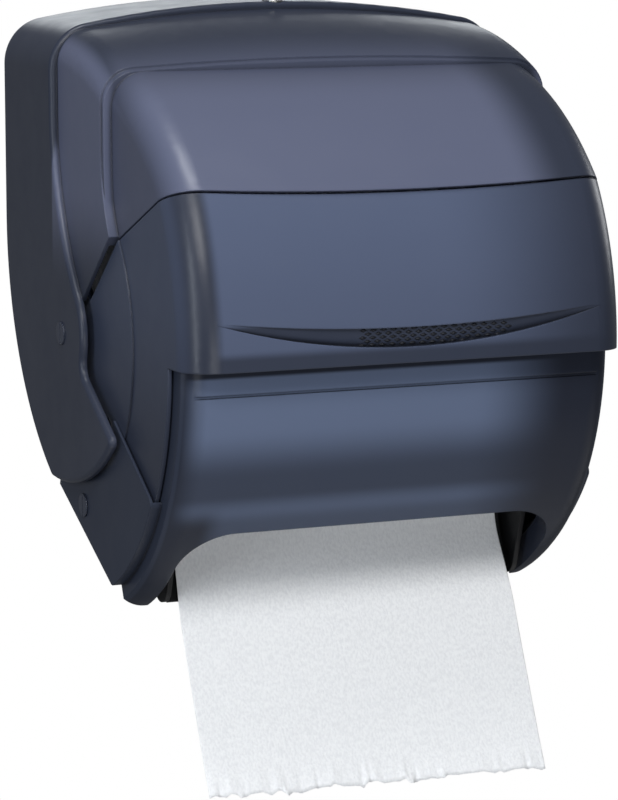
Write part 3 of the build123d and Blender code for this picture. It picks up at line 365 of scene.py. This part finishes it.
def plastic(name, colour, drift, rough, grain, **plain_sockets):
    """A material with the moulded skin: two colours, two roughnesses, and grain scale and depth."""
    made = bpy.data.materials.new(name)
    made.use_nodes = True
    tree = made.node_tree
    shader = tree.nodes["Principled BSDF"].inputs
    for socket, value in plain_sockets.items():
        shader[socket].default_value = value
    surface = place_group(tree, skin, {
        "Colour": colour,
        "Drift": drift,
        "Rough low": rough[0],
        "Rough high": rough[1],
        "Grain scale": grain[0],
        "Grain": grain[1],
        "Edge round": EDGE_ROUND,
    })
    tree.links.new(surface["Colour"], shader["Base Color"])
    tree.links.new(surface["Roughness"], shader["Roughness"])
    tree.links.new(surface["Normal"], shader["Normal"])
    return made


smoke = plastic("smoky_plain", srgb(50, 55, 70), srgb(45, 50, 64), (0.30, 0.38), FINE_GRAIN)
# The grip's diamonds: the smoky plastic, more matt, and darker as painted shade of the scoop.
grip_shaded = plastic("smoky_grip", srgb(30, 33, 42), srgb(25, 27, 35), (0.6, 0.75), FINE_GRAIN)
black = plastic(
    "black_plastic", srgb(15, 15, 17), srgb(21, 21, 23), (0.45, 0.62), (1200.0, 0.12), IOR=1.35
)
grey = plastic("pale_plastic", srgb(196, 198, 200), srgb(188, 190, 193), (0.4, 0.55), (1200.0, 0.08))
rubber = plastic("rubber", srgb(34, 34, 35), srgb(44, 44, 45), (0.7, 0.9), (700.0, 0.3))
card = plastic("card", srgb(166, 134, 98), srgb(150, 118, 84), (0.8, 0.95), (350.0, 0.3))
steel = plastic(
    "steel", srgb(170, 172, 176), srgb(150, 152, 157), (0.28, 0.45), (2500.0, 0.1), Metallic=1.0
)
plated = plastic(
    "plated", srgb(150, 149, 145), srgb(138, 137, 134), (0.2, 0.32), (900.0, 0.03), Metallic=1.0
)
plain_finishes = (smoke, grip_shaded, black, grey, rubber, card, steel, plated)
print("plain finishes:", ", ".join(finish.name for finish in plain_finishes))

# %% [markdown]
# ## Painted shade in inner corners
# Where the steps of a cover meet, the real seams are darker than the faces beside them, because
# little light gets in and dust stays there. Here that darkening is painted into the colour as shade.
# It could be painted by hand. An Ambient Occlusion node finds the corners by itself: it says how
# much a point is closed in by its own piece, within a few millimetres. All three covers use it, so
# it is a group. The change to the shade colour is a soft step, which a Map Range node makes between
# two plain values without a visible kink.

# %% Build the corner group
SEAM_CLOSED, SEAM_OPEN = 0.35, 0.9
SEAM_SAMPLES = 6


def ramp(tree, value, start, end):
    """0 at the start, 1 at the end, and an even, soft rise between them."""
    made = tree.nodes.new("ShaderNodeMapRange")
    made.interpolation_type = "SMOOTHSTEP"
    made.inputs["From Min"].default_value = start
    made.inputs["From Max"].default_value = end
    tree.links.new(value, made.inputs["Value"])
    return made.outputs["Result"]


corners, given, result = new_group(
    "inner_corner_shade",
    {"Colour": "Color", "Dark": "Color", "Reach": "Float"},
    {"Colour": "Color"},
)
# Painted shade: the colour goes to the dark one where a corner is closed in.
closed = corners.nodes.new("ShaderNodeAmbientOcclusion")
closed.samples = SEAM_SAMPLES
closed.only_local = True
corners.links.new(given["Reach"], closed.inputs["Distance"])
openness = ramp(corners, closed.outputs["AO"], SEAM_CLOSED, SEAM_OPEN)
corners.links.new(blend(corners, openness, given["Dark"], given["Colour"]), result["Colour"])
print("group", corners.name, "of", len(corners.nodes), "nodes")

# %% [markdown]
# ## Smoky covers
# The covers are dark and a little clear. The white roll behind them lifts the colour of the front
# between its two ends, and the sides stay darker. Clear plastic that light really goes through
# would do it, but it is slow and noisy, and other programs show it differently. So the roll's
# ghost is painted light: soft ramps along the axes are multiplied into a mask, which mixes a lifted
# colour into the plain one. It keeps its place on the cover from every side.

# %% A mask from ramps
ROUND_PIVOT = (0, 1, 1)


def where(tree):
    """What a ramp can run along: the axes, the way out from the middle, the way from the pivot."""
    spot = tree.nodes.new("ShaderNodeTexCoord").outputs["Object"]
    axes = tree.nodes.new("ShaderNodeSeparateXYZ")
    tree.links.new(spot, axes.inputs[0])
    about = tree.nodes.new("ShaderNodeVectorMath")
    about.operation = "MULTIPLY_ADD"
    about.inputs[1].default_value = ROUND_PIVOT
    about.inputs[2].default_value = -at(0, 0, 0)
    tree.links.new(spot, about.inputs[0])
    reach = tree.nodes.new("ShaderNodeVectorMath")
    reach.operation = "LENGTH"
    tree.links.new(about.outputs["Vector"], reach.inputs[0])
    found = {axis: axes.outputs[axis] for axis in "XYZ"}
    found["across"] = maths(tree, "ABSOLUTE", axes.outputs["X"])
    found["reach"] = reach.outputs["Value"]
    return found


def mask(tree, places, ramps):
    """1 where every ramp has risen. A ramp is what it runs along, its start and its end."""
    value = None
    for along, start, end in ramps:
        step = ramp(tree, places[along], start, end)
        value = step if value is None else maths(tree, "MULTIPLY", value, step)
    return value


print("a ramp can run along X, Y, Z, across or reach")

# %% [markdown]
# ## One function for the three covers
# Upper cover, lever and lower cover are the same plastic in front of the same roll, but the ghost
# differs on each of them. One material with all the exceptions would be hard to read. So a function
# takes the two colours, where the ghost fades at its left and right ends, the bands that take it
# away again, and the faces at the sides that are lifted by another share. Some of those bands stand
# for dark parts behind the cover and some are painted shade, and the lifted sides are painted light.

# %% Smoky plastic with a ghost
SMOKY_ROUGH = (0.30, 0.37)
DEEPER = 0.85
FRONT = ("Y", -0.13, -0.21)
# Colour and reach of the painted shade in inner corners.
SEAM_SHADE, SEAM_REACH = srgb(22, 24, 31), 0.004


def smoky(name, plain, lifted, ior, left, right, hidden_and_shaded, sides):
    deeper = tuple(DEEPER * part for part in plain[:3]) + (1.0,)
    made = plastic(name, plain, deeper, SMOKY_ROUGH, FINE_GRAIN, IOR=ior)
    tree = made.node_tree
    base = tree.nodes["Principled BSDF"].inputs["Base Color"]
    own_colour = base.links[0].from_socket
    places = where(tree)
    # The ghost: painted light of the roll seen through the cover.
    ghost = mask(tree, places, [("X", *left), ("X", *right), FRONT])
    # Bands that take the ghost away: dark parts behind the cover, and painted shade.
    for ramps, share in hidden_and_shaded:
        kept = maths(tree, "MULTIPLY_ADD", mask(tree, places, ramps), -share, 1.0)
        ghost = maths(tree, "MULTIPLY", ghost, kept)
    # Side faces get painted light: a share of the lifted colour.
    ramps, share = sides
    ghost = maths(tree, "MAXIMUM", ghost, maths(tree, "MULTIPLY", mask(tree, places, ramps), share))
    # Painted shade in the inner corners, over the colour with its painted ghost.
    seams = place_group(tree, corners, {
        "Colour": blend(tree, ghost, own_colour, lifted),
        "Dark": SEAM_SHADE,
        "Reach": SEAM_REACH,
    })
    tree.links.new(seams["Colour"], base)
    return made


print("seams are dark within", SEAM_REACH / MM, "mm of a corner")

# %% [markdown]
# ## The upper cover's ghost
# The hood, the crown and the dome are one moulding. On its front the ghost starts at the left edge
# and fades before the right one, because the view from the left looks past the roll's right end.
# It could be drawn as one spot, but two ramps follow the cover better. The crown's sides get
# painted light towards the top, so their own ramp rises with Z and stays off the hood behind them.

# %% Upper cover
# Painted light on the crown's sides, rising towards the top.
CROWN_SIDE_LIGHT = [("across", 0.130, 0.139), ("Y", -0.092, -0.094), ("Z", -0.03, 0.03)]

smoke_upper = smoky(
    "smoky_upper", srgb(47, 52, 66), srgb(86, 91, 112), 1.35,
    left=(-0.150, -0.124), right=(0.108, 0.074), hidden_and_shaded=[], sides=(CROWN_SIDE_LIGHT, 1.0),
)
print("made", smoke_upper.name)

# %% [markdown]
# ## The lever's ghost
# The lever covers the roll's lower half. Its lip and the scoop that fingers press are darker than
# the face above them, because they face partly downward, and that shade is painted by making the
# ghost weak there. A band along Z does for the lip, but the scoop is a hollow in a round face. Its
# band runs along the reach from the pivot, so that it ends where the hollow ends. The cheeks at the
# sides get a share of painted light.

# %% Lever
# Painted shade on the lip and in the scoop, and painted light on the cheeks.
LIP_SHADE = [("Z", -0.049, -0.055), ("Y", -0.281, -0.284)]
SCOOP_SHADE = [("reach", 0.1847, 0.1838), ("Y", -0.281, -0.284)]
CHEEK_LIGHT = [("across", 0.1295, 0.1355), ("Z", -0.130, -0.010)]

smoke_lever = smoky(
    "smoky_lever", srgb(47, 52, 66), srgb(80, 89, 112), 1.35,
    left=(-0.120, -0.113), right=(0.135, 0.020),
    hidden_and_shaded=[(LIP_SHADE, 0.85), (SCOOP_SHADE, 0.8)], sides=(CHEEK_LIGHT, 0.45),
)
print("made", smoke_lever.name)

# %% [markdown]
# ## The lower cover's ghost
# Behind the lower cover hangs the web of paper, and the dark rollers and the tear bar cross it. So
# its ghost is brighter, with a darker band where the rollers lie. It is weaker above the mouth,
# almost gone in the mouth's left corner, and absent from the strip below the lever, which leaves a
# painted shadow of the lever's lip there. The flanks get a small share of painted light. Each of
# these is one band with a share of its own, which is easy to tune by itself. The index of refraction
# is lower than on the other covers, because this one faces the floor more and would mirror it.

# %% Lower cover
# Painted shadow of the lever's lip on the strip below it.
LEVER_SHADOW = [("Z", -0.0675, -0.0652)]
ROLLERS = [("Z", -0.096, -0.126), ("Z", -0.150, -0.136)]
MOUTH_EDGE = [("Z", -0.140, -0.156)]
MOUTH_CORNER = [("Z", -0.140, -0.158), ("X", -0.096, -0.112)]
# Painted light on the flanks.
FLANK_LIGHT = [("across", 0.1290, 0.1303)]

smoke_lower = smoky(
    "smoky_lower", srgb(40, 44, 56), srgb(102, 114, 140), 1.22,
    left=(-0.132, -0.116), right=(0.106, 0.045),
    hidden_and_shaded=[(ROLLERS, 0.74), (MOUTH_EDGE, 0.55), (MOUTH_CORNER, 0.95), (LEVER_SHADOW, 1.0)],
    sides=(FLANK_LIGHT, 0.09),
)
print("made", smoke_lower.name)

# %% [markdown]
# ## Crepe paper
# Towel paper is white, quite matt and finely crinkled, and it has faint flecks. The crinkles could
# be modelled, but they are far smaller than the faces of a sheet. Two noises do it: one mixes two
# whites for the flecks, and one goes into a Bump node. Both are stretched along Z, the way that
# the web runs.

# %% Paper
PAPER_ROUGH, PAPER_IOR, PAPER_SHEEN = 0.95, 1.3, 0.1
FLECK_SCALE, FLECK_DETAIL, FLECK_STRETCH = 800.0, 5.0, (1.0, 1.0, 0.45)
FLECK_LOW, FLECK_HIGH = 0.3, 0.66
CREPE_SCALE, CREPE_DETAIL, CREPE_STRETCH = 620.0, 4.0, (1.0, 1.0, 0.6)
CREPE_DEPTH, CREPE_HEIGHT = 0.45, 0.0006

paper = bpy.data.materials.new("crepe_paper")
paper.use_nodes = True
tree = paper.node_tree
shader = tree.nodes["Principled BSDF"].inputs
shader["Roughness"].default_value = PAPER_ROUGH
shader["IOR"].default_value = PAPER_IOR
shader["Sheen Weight"].default_value = PAPER_SHEEN
flecks = ramp(tree, noise(tree, FLECK_SCALE, FLECK_DETAIL, FLECK_STRETCH), FLECK_LOW, FLECK_HIGH)
tree.links.new(blend(tree, flecks, srgb(239, 240, 242), srgb(250, 251, 252)), shader["Base Color"])
crepe = tree.nodes.new("ShaderNodeBump")
crepe.inputs["Strength"].default_value = CREPE_DEPTH
crepe.inputs["Distance"].default_value = CREPE_HEIGHT
tree.links.new(noise(tree, CREPE_SCALE, CREPE_DETAIL, CREPE_STRETCH), crepe.inputs["Height"])
tree.links.new(crepe.outputs["Normal"], shader["Normal"])
print("materials", len(bpy.data.materials))

# %% [markdown]
# ## Which finish goes where
# A real dispenser is put together from mouldings, turned pins and bought parts, and each CAD node
# names its material slot. The finishes could be set piece by piece. One table from slots to
# finishes is shorter and forgets none, and the three covers have finishes of their own.

# %% Finishes of the pieces
FINISH_OF_SLOT = {
    "cover_plastic": smoke,
    "chassis_plastic": black,
    "arm_plastic": grey,
    "steel": steel,
    "rubber": rubber,
    "card": card,
    "lock_metal": plated,
}
FINISH_OF_COVER = {"upper_cover": smoke_upper, "lever": smoke_lever, "lower_cover": smoke_lower}
rigid = [node for node in sorted(frame["nodes"]) if slot_of[node] != "paper"]
print("finishes for", len(rigid), "rigid nodes")

# %% [markdown]
# ## Dressing the rigid pieces
# The mouldings, shafts, pins and screws have their true shapes in the CAD already, but a CAD node
# comes as loose triangles, which would shade every facet by itself. The shapes could be modelled
# again, but then they might not fit. So each node is copied and its triangles are joined. Edges
# sharper than an angle stay crisp, the rest is shaded smoothly, and a Weighted Normal modifier
# keeps the large faces flat. In each leg of the lower cover the corner of an inner plate stands a
# little out of the skin, and the copy draws it in.

# %% Copy, join and shade
CRISP = math.radians(32)
MERGE_WITHIN, SLIVER_WITHIN = 2e-6, 1e-6
PLATE_CORNER, PLATE_WITHIN = Vector((-0.18397, -0.20632)), 3e-4
PLATE_BESIDE, PLATE_PROUD = 0.13, 0.0014


def settle(piece):
    """Make what the modifiers show the piece's own mesh."""
    ready = bpy.data.meshes.new_from_object(piece.evaluated_get(bpy.context.evaluated_depsgraph_get()))
    piece.modifiers.clear()
    piece.data = ready


def tuck_plate(work):
    for vert in work.verts:
        near = (vert.co.yz - PLATE_CORNER).length < PLATE_WITHIN
        if near and abs(vert.co.x) > PLATE_BESIDE:
            vert.co.z += PLATE_PROUD


def smooth_copy(node, material):
    mesh = frame["nodes"][node].data.copy()
    mesh.name = node + "_skin"
    work = bmesh.new()
    work.from_mesh(mesh)
    bmesh.ops.remove_doubles(work, verts=work.verts, dist=MERGE_WITHIN)
    bmesh.ops.dissolve_degenerate(work, dist=SLIVER_WITHIN, edges=work.edges)
    if node == "lower_cover":
        tuck_plate(work)
    for face in work.faces:
        face.smooth = True
    for edge in work.edges:
        edge.smooth = len(edge.link_faces) == 2 and edge.calc_face_angle() < CRISP
    work.to_mesh(mesh)
    work.free()
    mesh.materials.clear()
    mesh.materials.append(material)
    made = add_object(node + "_skin", mesh)
    even = made.modifiers.new("even", "WEIGHTED_NORMAL")
    even.keep_sharp = True
    settle(made)
    return made


print("edges sharper than", round(math.degrees(CRISP)), "degrees stay crisp")

# %% [markdown]
# ## Putting the pieces on their bodies
# On the real dispenser the cover swings, the lever rocks and the rollers turn, and every piece
# goes with the body that it is fixed to. Parents or constraints could do that in Blender. The frame
# has its bodies already, so each copy is only told which body it rides on, and the node that it
# stands for is hidden.


# %% Dress every rigid node
def carry(piece, node):
    """Let a piece ride on its node's body, and hide the node that it stands for."""
    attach(piece, body_of[node])
    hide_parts(node)


for node in rigid:
    carry(smooth_copy(node, FINISH_OF_COVER.get(node) or FINISH_OF_SLOT[slot_of[node]]), node)
print("dressed", len(rigid), "rigid nodes")

# %% [markdown]
# ## The towel roll
# The roll is wound paper round a card core. From the side it shows its turns, some of which stand
# a hair out of line, and the last turn ends in a small step where the web leaves. A plain cylinder
# would be too perfect, and a real spiral of hundreds of turns too heavy. So the roll's section is
# a ring of points, one for each of a few dozen turns at both ends, set a little out of line by
# chance with a fixed seed.

# %% The roll's turns
ROLL_FORWARD, ROLL_RISE = 5.0, 70.0
ROLL_RADIUS, CORE_RADIUS, TOWEL_HALF = 96.0, 21.05, 104.0
AROUND, TURNS = 144, 40
TURN_WANDER, ROLL_SEED = 0.22, 7
TURN_INSET, END_INSET = 0.4, 0.6


def roll_ring():
    """Across and radius of each turn's edge, out along the left end and back along the right."""
    wander = np.random.default_rng(ROLL_SEED).normal(0, TURN_WANDER, TURNS)
    radii = np.linspace(CORE_RADIUS, ROLL_RADIUS - TURN_INSET, TURNS)
    turns = [(TOWEL_HALF - END_INSET + w, r) for r, w in zip(radii, wander)]
    return [(-x, r) for x, r in turns] + [(x, r) for x, r in reversed(turns)]


ring = roll_ring()
print("section of", len(ring), "points")

# %% [markdown]
# ## Winding the section
# A Screw modifier could carry the section round the axis, but every turn would then be a perfect
# circle. A short loop carries it round instead and lets the outermost turn swell on its way, which
# leaves the small step where the paper ends. The last section is joined to the first, so the roll
# is closed.

# %% Wind the roll
LAST_STEP, LAST_TURN = 0.35, ROLL_RADIUS - 1


def new_piece(name, verts, faces):
    """A smooth piece of paper from its points and faces."""
    mesh = bpy.data.meshes.new(name)
    mesh.from_pydata(verts, [], faces)
    for face in mesh.polygons:
        face.use_smooth = True
    mesh.materials.append(paper)
    return add_object(name, mesh)


def wound_roll():
    count = len(ring)
    verts, faces = [], []
    for k, angle in enumerate(np.linspace(0, 2 * math.pi, AROUND, endpoint=False)):
        swell = LAST_STEP * k / AROUND
        for x, r in ring:
            reach = r + (swell if r > LAST_TURN else 0)
            forward = ROLL_FORWARD + reach * math.cos(angle)
            verts.append(at(x, forward, ROLL_RISE + reach * math.sin(angle)))
    for k in range(AROUND):
        a, b = k * count, ((k + 1) % AROUND) * count
        for i in range(count):
            j = (i + 1) % count
            faces.append((a + i, a + j, b + j, b + i))
    return new_piece("towel_roll_wound", verts, faces)


carry(wound_roll(), "towel_roll")
print("roll of radius", ROLL_RADIUS, "mm with", TURNS, "turns drawn")

# %% [markdown]
# ## The way of the web
# The paper comes off the front of the roll, runs down through the nip of the two rollers, bends
# over the edge of the mouth and hangs out, leaning forward. A cloth simulation could find that
# way, but it would have to be run again for every change. The side view is simple enough to be
# written down: a straight run, a second one, an arc, and a straight end.

# %% Trace the web from the side
WEB_START = (98.2, 45.9)
NIP_FORWARD, NIP_TOP = 73.73, -49.01
BEND_TOP, BEND_RADIUS = -103.0, 60.0
LEAN = math.radians(25.5)
END_DROP, MOUTH_DROP = 257.0, 118.0
ROWS_TO_NIP, ROWS_IN_NIP, ROWS_IN_BEND, ROWS_OUT = 12, 6, 12, 44


def web_line():
    """Points of the web in the side view, with how far each lies out of the mouth, 0 to 1."""
    start, nip = np.array(WEB_START), np.array((NIP_FORWARD, NIP_TOP))
    points = [start * (1 - t) + nip * t for t in np.linspace(0, 1, ROWS_TO_NIP)]
    points += [np.array((NIP_FORWARD, z)) for z in np.linspace(NIP_TOP, BEND_TOP, ROWS_IN_NIP)[1:]]
    for a in np.linspace(0, LEAN, ROWS_IN_BEND)[1:]:
        forward = NIP_FORWARD + BEND_RADIUS * (1 - math.cos(a))
        points.append(np.array((forward, BEND_TOP - BEND_RADIUS * math.sin(a))))
    bend = points[-1]
    run = (END_DROP + bend[1]) / math.cos(LEAN)
    for t in np.linspace(0, 1, ROWS_OUT)[1:]:
        points.append(bend + run * t * np.array((math.sin(LEAN), -math.cos(LEAN))))
    out = [max(0.0, (-p[1] - MOUTH_DROP) / (END_DROP - MOUTH_DROP)) for p in points]
    return points, out


web, web_out = web_line()

# %% [markdown]
# ## The torn end
# The towel was torn off against the blade, so its end is a row of uneven teeth, with small flaps
# that curl out of the sheet. A cut through the mesh would leave a clean line. Instead each column
# of the sheet gets its own height: a zigzag between random tips, a slow drift, a fine fray, and a
# few flaps. The seed is fixed, so the end is the same each time.

# %% Tear the end
COLUMNS, TORN_SEED = 313, 11
TIPS, TIP_STEP, TIP_HEIGHT, TIP_LEAD = 60, (2.0, 7.5), 3.0, 5.0
DRIFT_WIDTH, DRIFT_HEIGHT, FRAY = 41, 2.4, 0.2
FLAPS, FLAP_WIDTH, FLAP_DEPTH, FLAP_CURL = 16, 1.5, (0.4, 1.6), (-1.6, 2.0)

rng = np.random.default_rng(TORN_SEED)
xs = np.linspace(-TOWEL_HALF, TOWEL_HALF, COLUMNS)
tips = np.cumsum(rng.uniform(*TIP_STEP, TIPS)) - TOWEL_HALF - TIP_LEAD
teeth = np.interp(xs, tips, rng.uniform(0.0, TIP_HEIGHT, TIPS))
soft = np.hanning(DRIFT_WIDTH) / (DRIFT_WIDTH / 2)
slow = np.convolve(rng.normal(0, 1, COLUMNS + DRIFT_WIDTH - 1), soft, "valid")
torn = teeth + DRIFT_HEIGHT * slow + rng.uniform(-FRAY, FRAY, COLUMNS)
curl = np.zeros(COLUMNS)
for spot in rng.uniform(-TOWEL_HALF, TOWEL_HALF, FLAPS):
    flap = np.exp(-(((xs - spot) / FLAP_WIDTH) ** 2))
    torn -= rng.uniform(*FLAP_DEPTH) * flap
    curl += rng.uniform(*FLAP_CURL) * flap
torn -= torn.min()
print("torn end", round(float(torn.max()), 1), "mm from tip to hollow")

# %% [markdown]
# ## The hanging towel
# A towel that hangs free is never flat: it twists a little out of the mouth, bows across its
# width and ripples. The rows of the web are spread across the width, and those three are added to
# the rows that are out of the mouth. The torn heights are spread over the last rows, so that no
# row folds over the next. A Solidify modifier gives the sheet its thickness.

# %% Hang the towel
TWIST, TWIST_START, TWIST_END = 7.0, 112.0, 165.0
RIPPLE, RIPPLE_ACROSS, RIPPLE_DOWN, BOW = 0.5, 3.1, 5, 1.2
TORN_ROWS, CURL_POWER = 6, 6
PAPER_THICK = 0.00025


def towel_point(row, column):
    p, t = web[row], web_out[row]
    s = xs[column] / TOWEL_HALF
    bow = t * (RIPPLE * math.sin(RIPPLE_ACROSS * s + RIPPLE_DOWN * t) - BOW * s * s)
    turn = min(1.0, max(0.0, (-p[1] - TWIST_START) / (TWIST_END - TWIST_START)))
    bow += TWIST * s * turn * turn * (3 - 2 * turn)
    near = max(0.0, 1.0 - (len(web) - 1 - row) / TORN_ROWS)
    bow += curl[column] * near**CURL_POWER
    return at(xs[column], p[0] + bow, p[1] + torn[column] * near)


verts = [towel_point(row, column) for row in range(len(web)) for column in range(COLUMNS)]
faces = []
for row in range(len(web) - 1):
    for k in range(COLUMNS - 1):
        a, b = row * COLUMNS + k, (row + 1) * COLUMNS + k
        faces.append((a, a + 1, b + 1, b))
towel = new_piece("towel_web", verts, faces)
thick = towel.modifiers.new("thick", "SOLIDIFY")
thick.thickness, thick.offset = PAPER_THICK, 0.0
settle(towel)
carry(towel, "towel_sheet")
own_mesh(towel)
print("towel of", len(towel.data.polygons), "faces")

# %% [markdown]
# ## Where the grip's diamonds sit
# The floor of the scoop has rows of small raised diamonds that stop wet fingers from slipping.
# A bump pattern could suggest them, but they show in the outline of the hollow from close by, so
# they are real faces. First come the points: five staggered rows on the hollow of the scoop. Each
# carries the way that the surface faces there, as an attribute for the next step.

# %% Points of the grip
SCOOP_RADIUS, SCOOP_RISE = 186.0, 58.0
GRIP_ROWS, GRIP_LOW, ROW_STEP = 5, 9.6, 2.15
GRIP_COLUMNS, GRIP_LEFT, COLUMN_STEP = 15, -30, 6.2


def grip_points():
    places, normals = [], []
    for row in range(GRIP_ROWS):
        up = GRIP_LOW + row * ROW_STEP
        forward = math.sqrt(SCOOP_RADIUS**2 - (up - SCOOP_RISE) ** 2)
        for k in range(GRIP_COLUMNS):
            stagger = COLUMN_STEP / 2 if row % 2 else 0
            places.append(at(GRIP_LEFT + k * COLUMN_STEP + stagger, forward, up))
            normals.append((0, -forward / SCOOP_RADIUS, (up - SCOOP_RISE) / SCOOP_RADIUS))
    mesh = bpy.data.meshes.new("grip_points")
    mesh.from_pydata(places, [], [])
    facing = mesh.attributes.new("facing", "FLOAT_VECTOR", "POINT")
    facing.data.foreach_set("vector", np.array(normals, np.float32).ravel())
    return mesh


grip = add_object("grip", grip_points())
print("grip of", len(grip.data.vertices), "points")

# %% [markdown]
# ## Diamonds by Geometry Nodes
# One diamond is a low four-sided cone with its top cut off, pulled out sideways. Copies could be
# placed in a loop, but Geometry Nodes do it in one tree whose sizes stay open to change: they make
# the cone, turn it to the surface at each point, make the copies real and set their material.

# %% Build the tree
CORNERS_OF_A_DIAMOND = 4


def grip_tree(sizes, material):
    group = bpy.data.node_groups.new("grip_diamonds", "GeometryNodeTree")
    group.interface.new_socket(name="Geometry", in_out="INPUT", socket_type="NodeSocketGeometry")
    for name in sizes:
        group.interface.new_socket(name=name, in_out="INPUT", socket_type="NodeSocketFloat")
    group.interface.new_socket(name="Geometry", in_out="OUTPUT", socket_type="NodeSocketGeometry")
    nodes, links = group.nodes, group.links
    given, end = nodes.new("NodeGroupInput").outputs, nodes.new("NodeGroupOutput").inputs
    diamond = nodes.new("GeometryNodeMeshCone")
    diamond.inputs["Vertices"].default_value = CORNERS_OF_A_DIAMOND
    links.new(given["Foot radius"], diamond.inputs["Radius Bottom"])
    links.new(given["Top radius"], diamond.inputs["Radius Top"])
    links.new(given["Height"], diamond.inputs["Depth"])
    pull = nodes.new("ShaderNodeCombineXYZ")
    pull.inputs["Z"].default_value = 1.0
    links.new(given["Pull sideways"], pull.inputs["X"])
    links.new(given["Pull upwards"], pull.inputs["Y"])
    shape = nodes.new("GeometryNodeTransform")
    links.new(diamond.outputs["Mesh"], shape.inputs["Geometry"])
    links.new(pull.outputs["Vector"], shape.inputs["Scale"])
    facing = nodes.new("GeometryNodeInputNamedAttribute")
    facing.data_type = "FLOAT_VECTOR"
    facing.inputs["Name"].default_value = "facing"
    turn = nodes.new("FunctionNodeAlignRotationToVector")
    turn.axis = "Z"
    links.new(facing.outputs["Attribute"], turn.inputs["Vector"])
    put = nodes.new("GeometryNodeInstanceOnPoints")
    links.new(given["Geometry"], put.inputs["Points"])
    links.new(shape.outputs["Geometry"], put.inputs["Instance"])
    links.new(turn.outputs["Rotation"], put.inputs["Rotation"])
    real = nodes.new("GeometryNodeRealizeInstances")
    links.new(put.outputs["Instances"], real.inputs["Geometry"])
    paint = nodes.new("GeometryNodeSetMaterial")
    paint.inputs["Material"].default_value = material
    links.new(real.outputs["Geometry"], paint.inputs["Geometry"])
    links.new(paint.outputs["Geometry"], end["Geometry"])
    return group


print("tree of diamonds with", CORNERS_OF_A_DIAMOND, "corners each")

# %% [markdown]
# ## The finished grip
# The tree's inputs are set on the modifier by each socket's identifier, since names can repeat.
# That is done before the object is looked at for the first time. The result is then made a plain
# mesh that rides on the lever.

# %% Grow the grip
DIAMOND_SIZES = {
    "Foot radius": 0.0019,
    "Top radius": 0.0006,
    "Height": 0.0007,
    "Pull sideways": 1.25,
    "Pull upwards": 0.62,
}

scatter = grip.modifiers.new("scatter", "NODES")
scatter.node_group = grip_tree(DIAMOND_SIZES, grip_shaded)
for socket in scatter.node_group.interface.items_tree:
    if socket.name in DIAMOND_SIZES:
        scatter[socket.identifier] = DIAMOND_SIZES[socket.name]
settle(grip)
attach(grip, "lever")
print("grip of", len(grip.data.polygons), "faces")
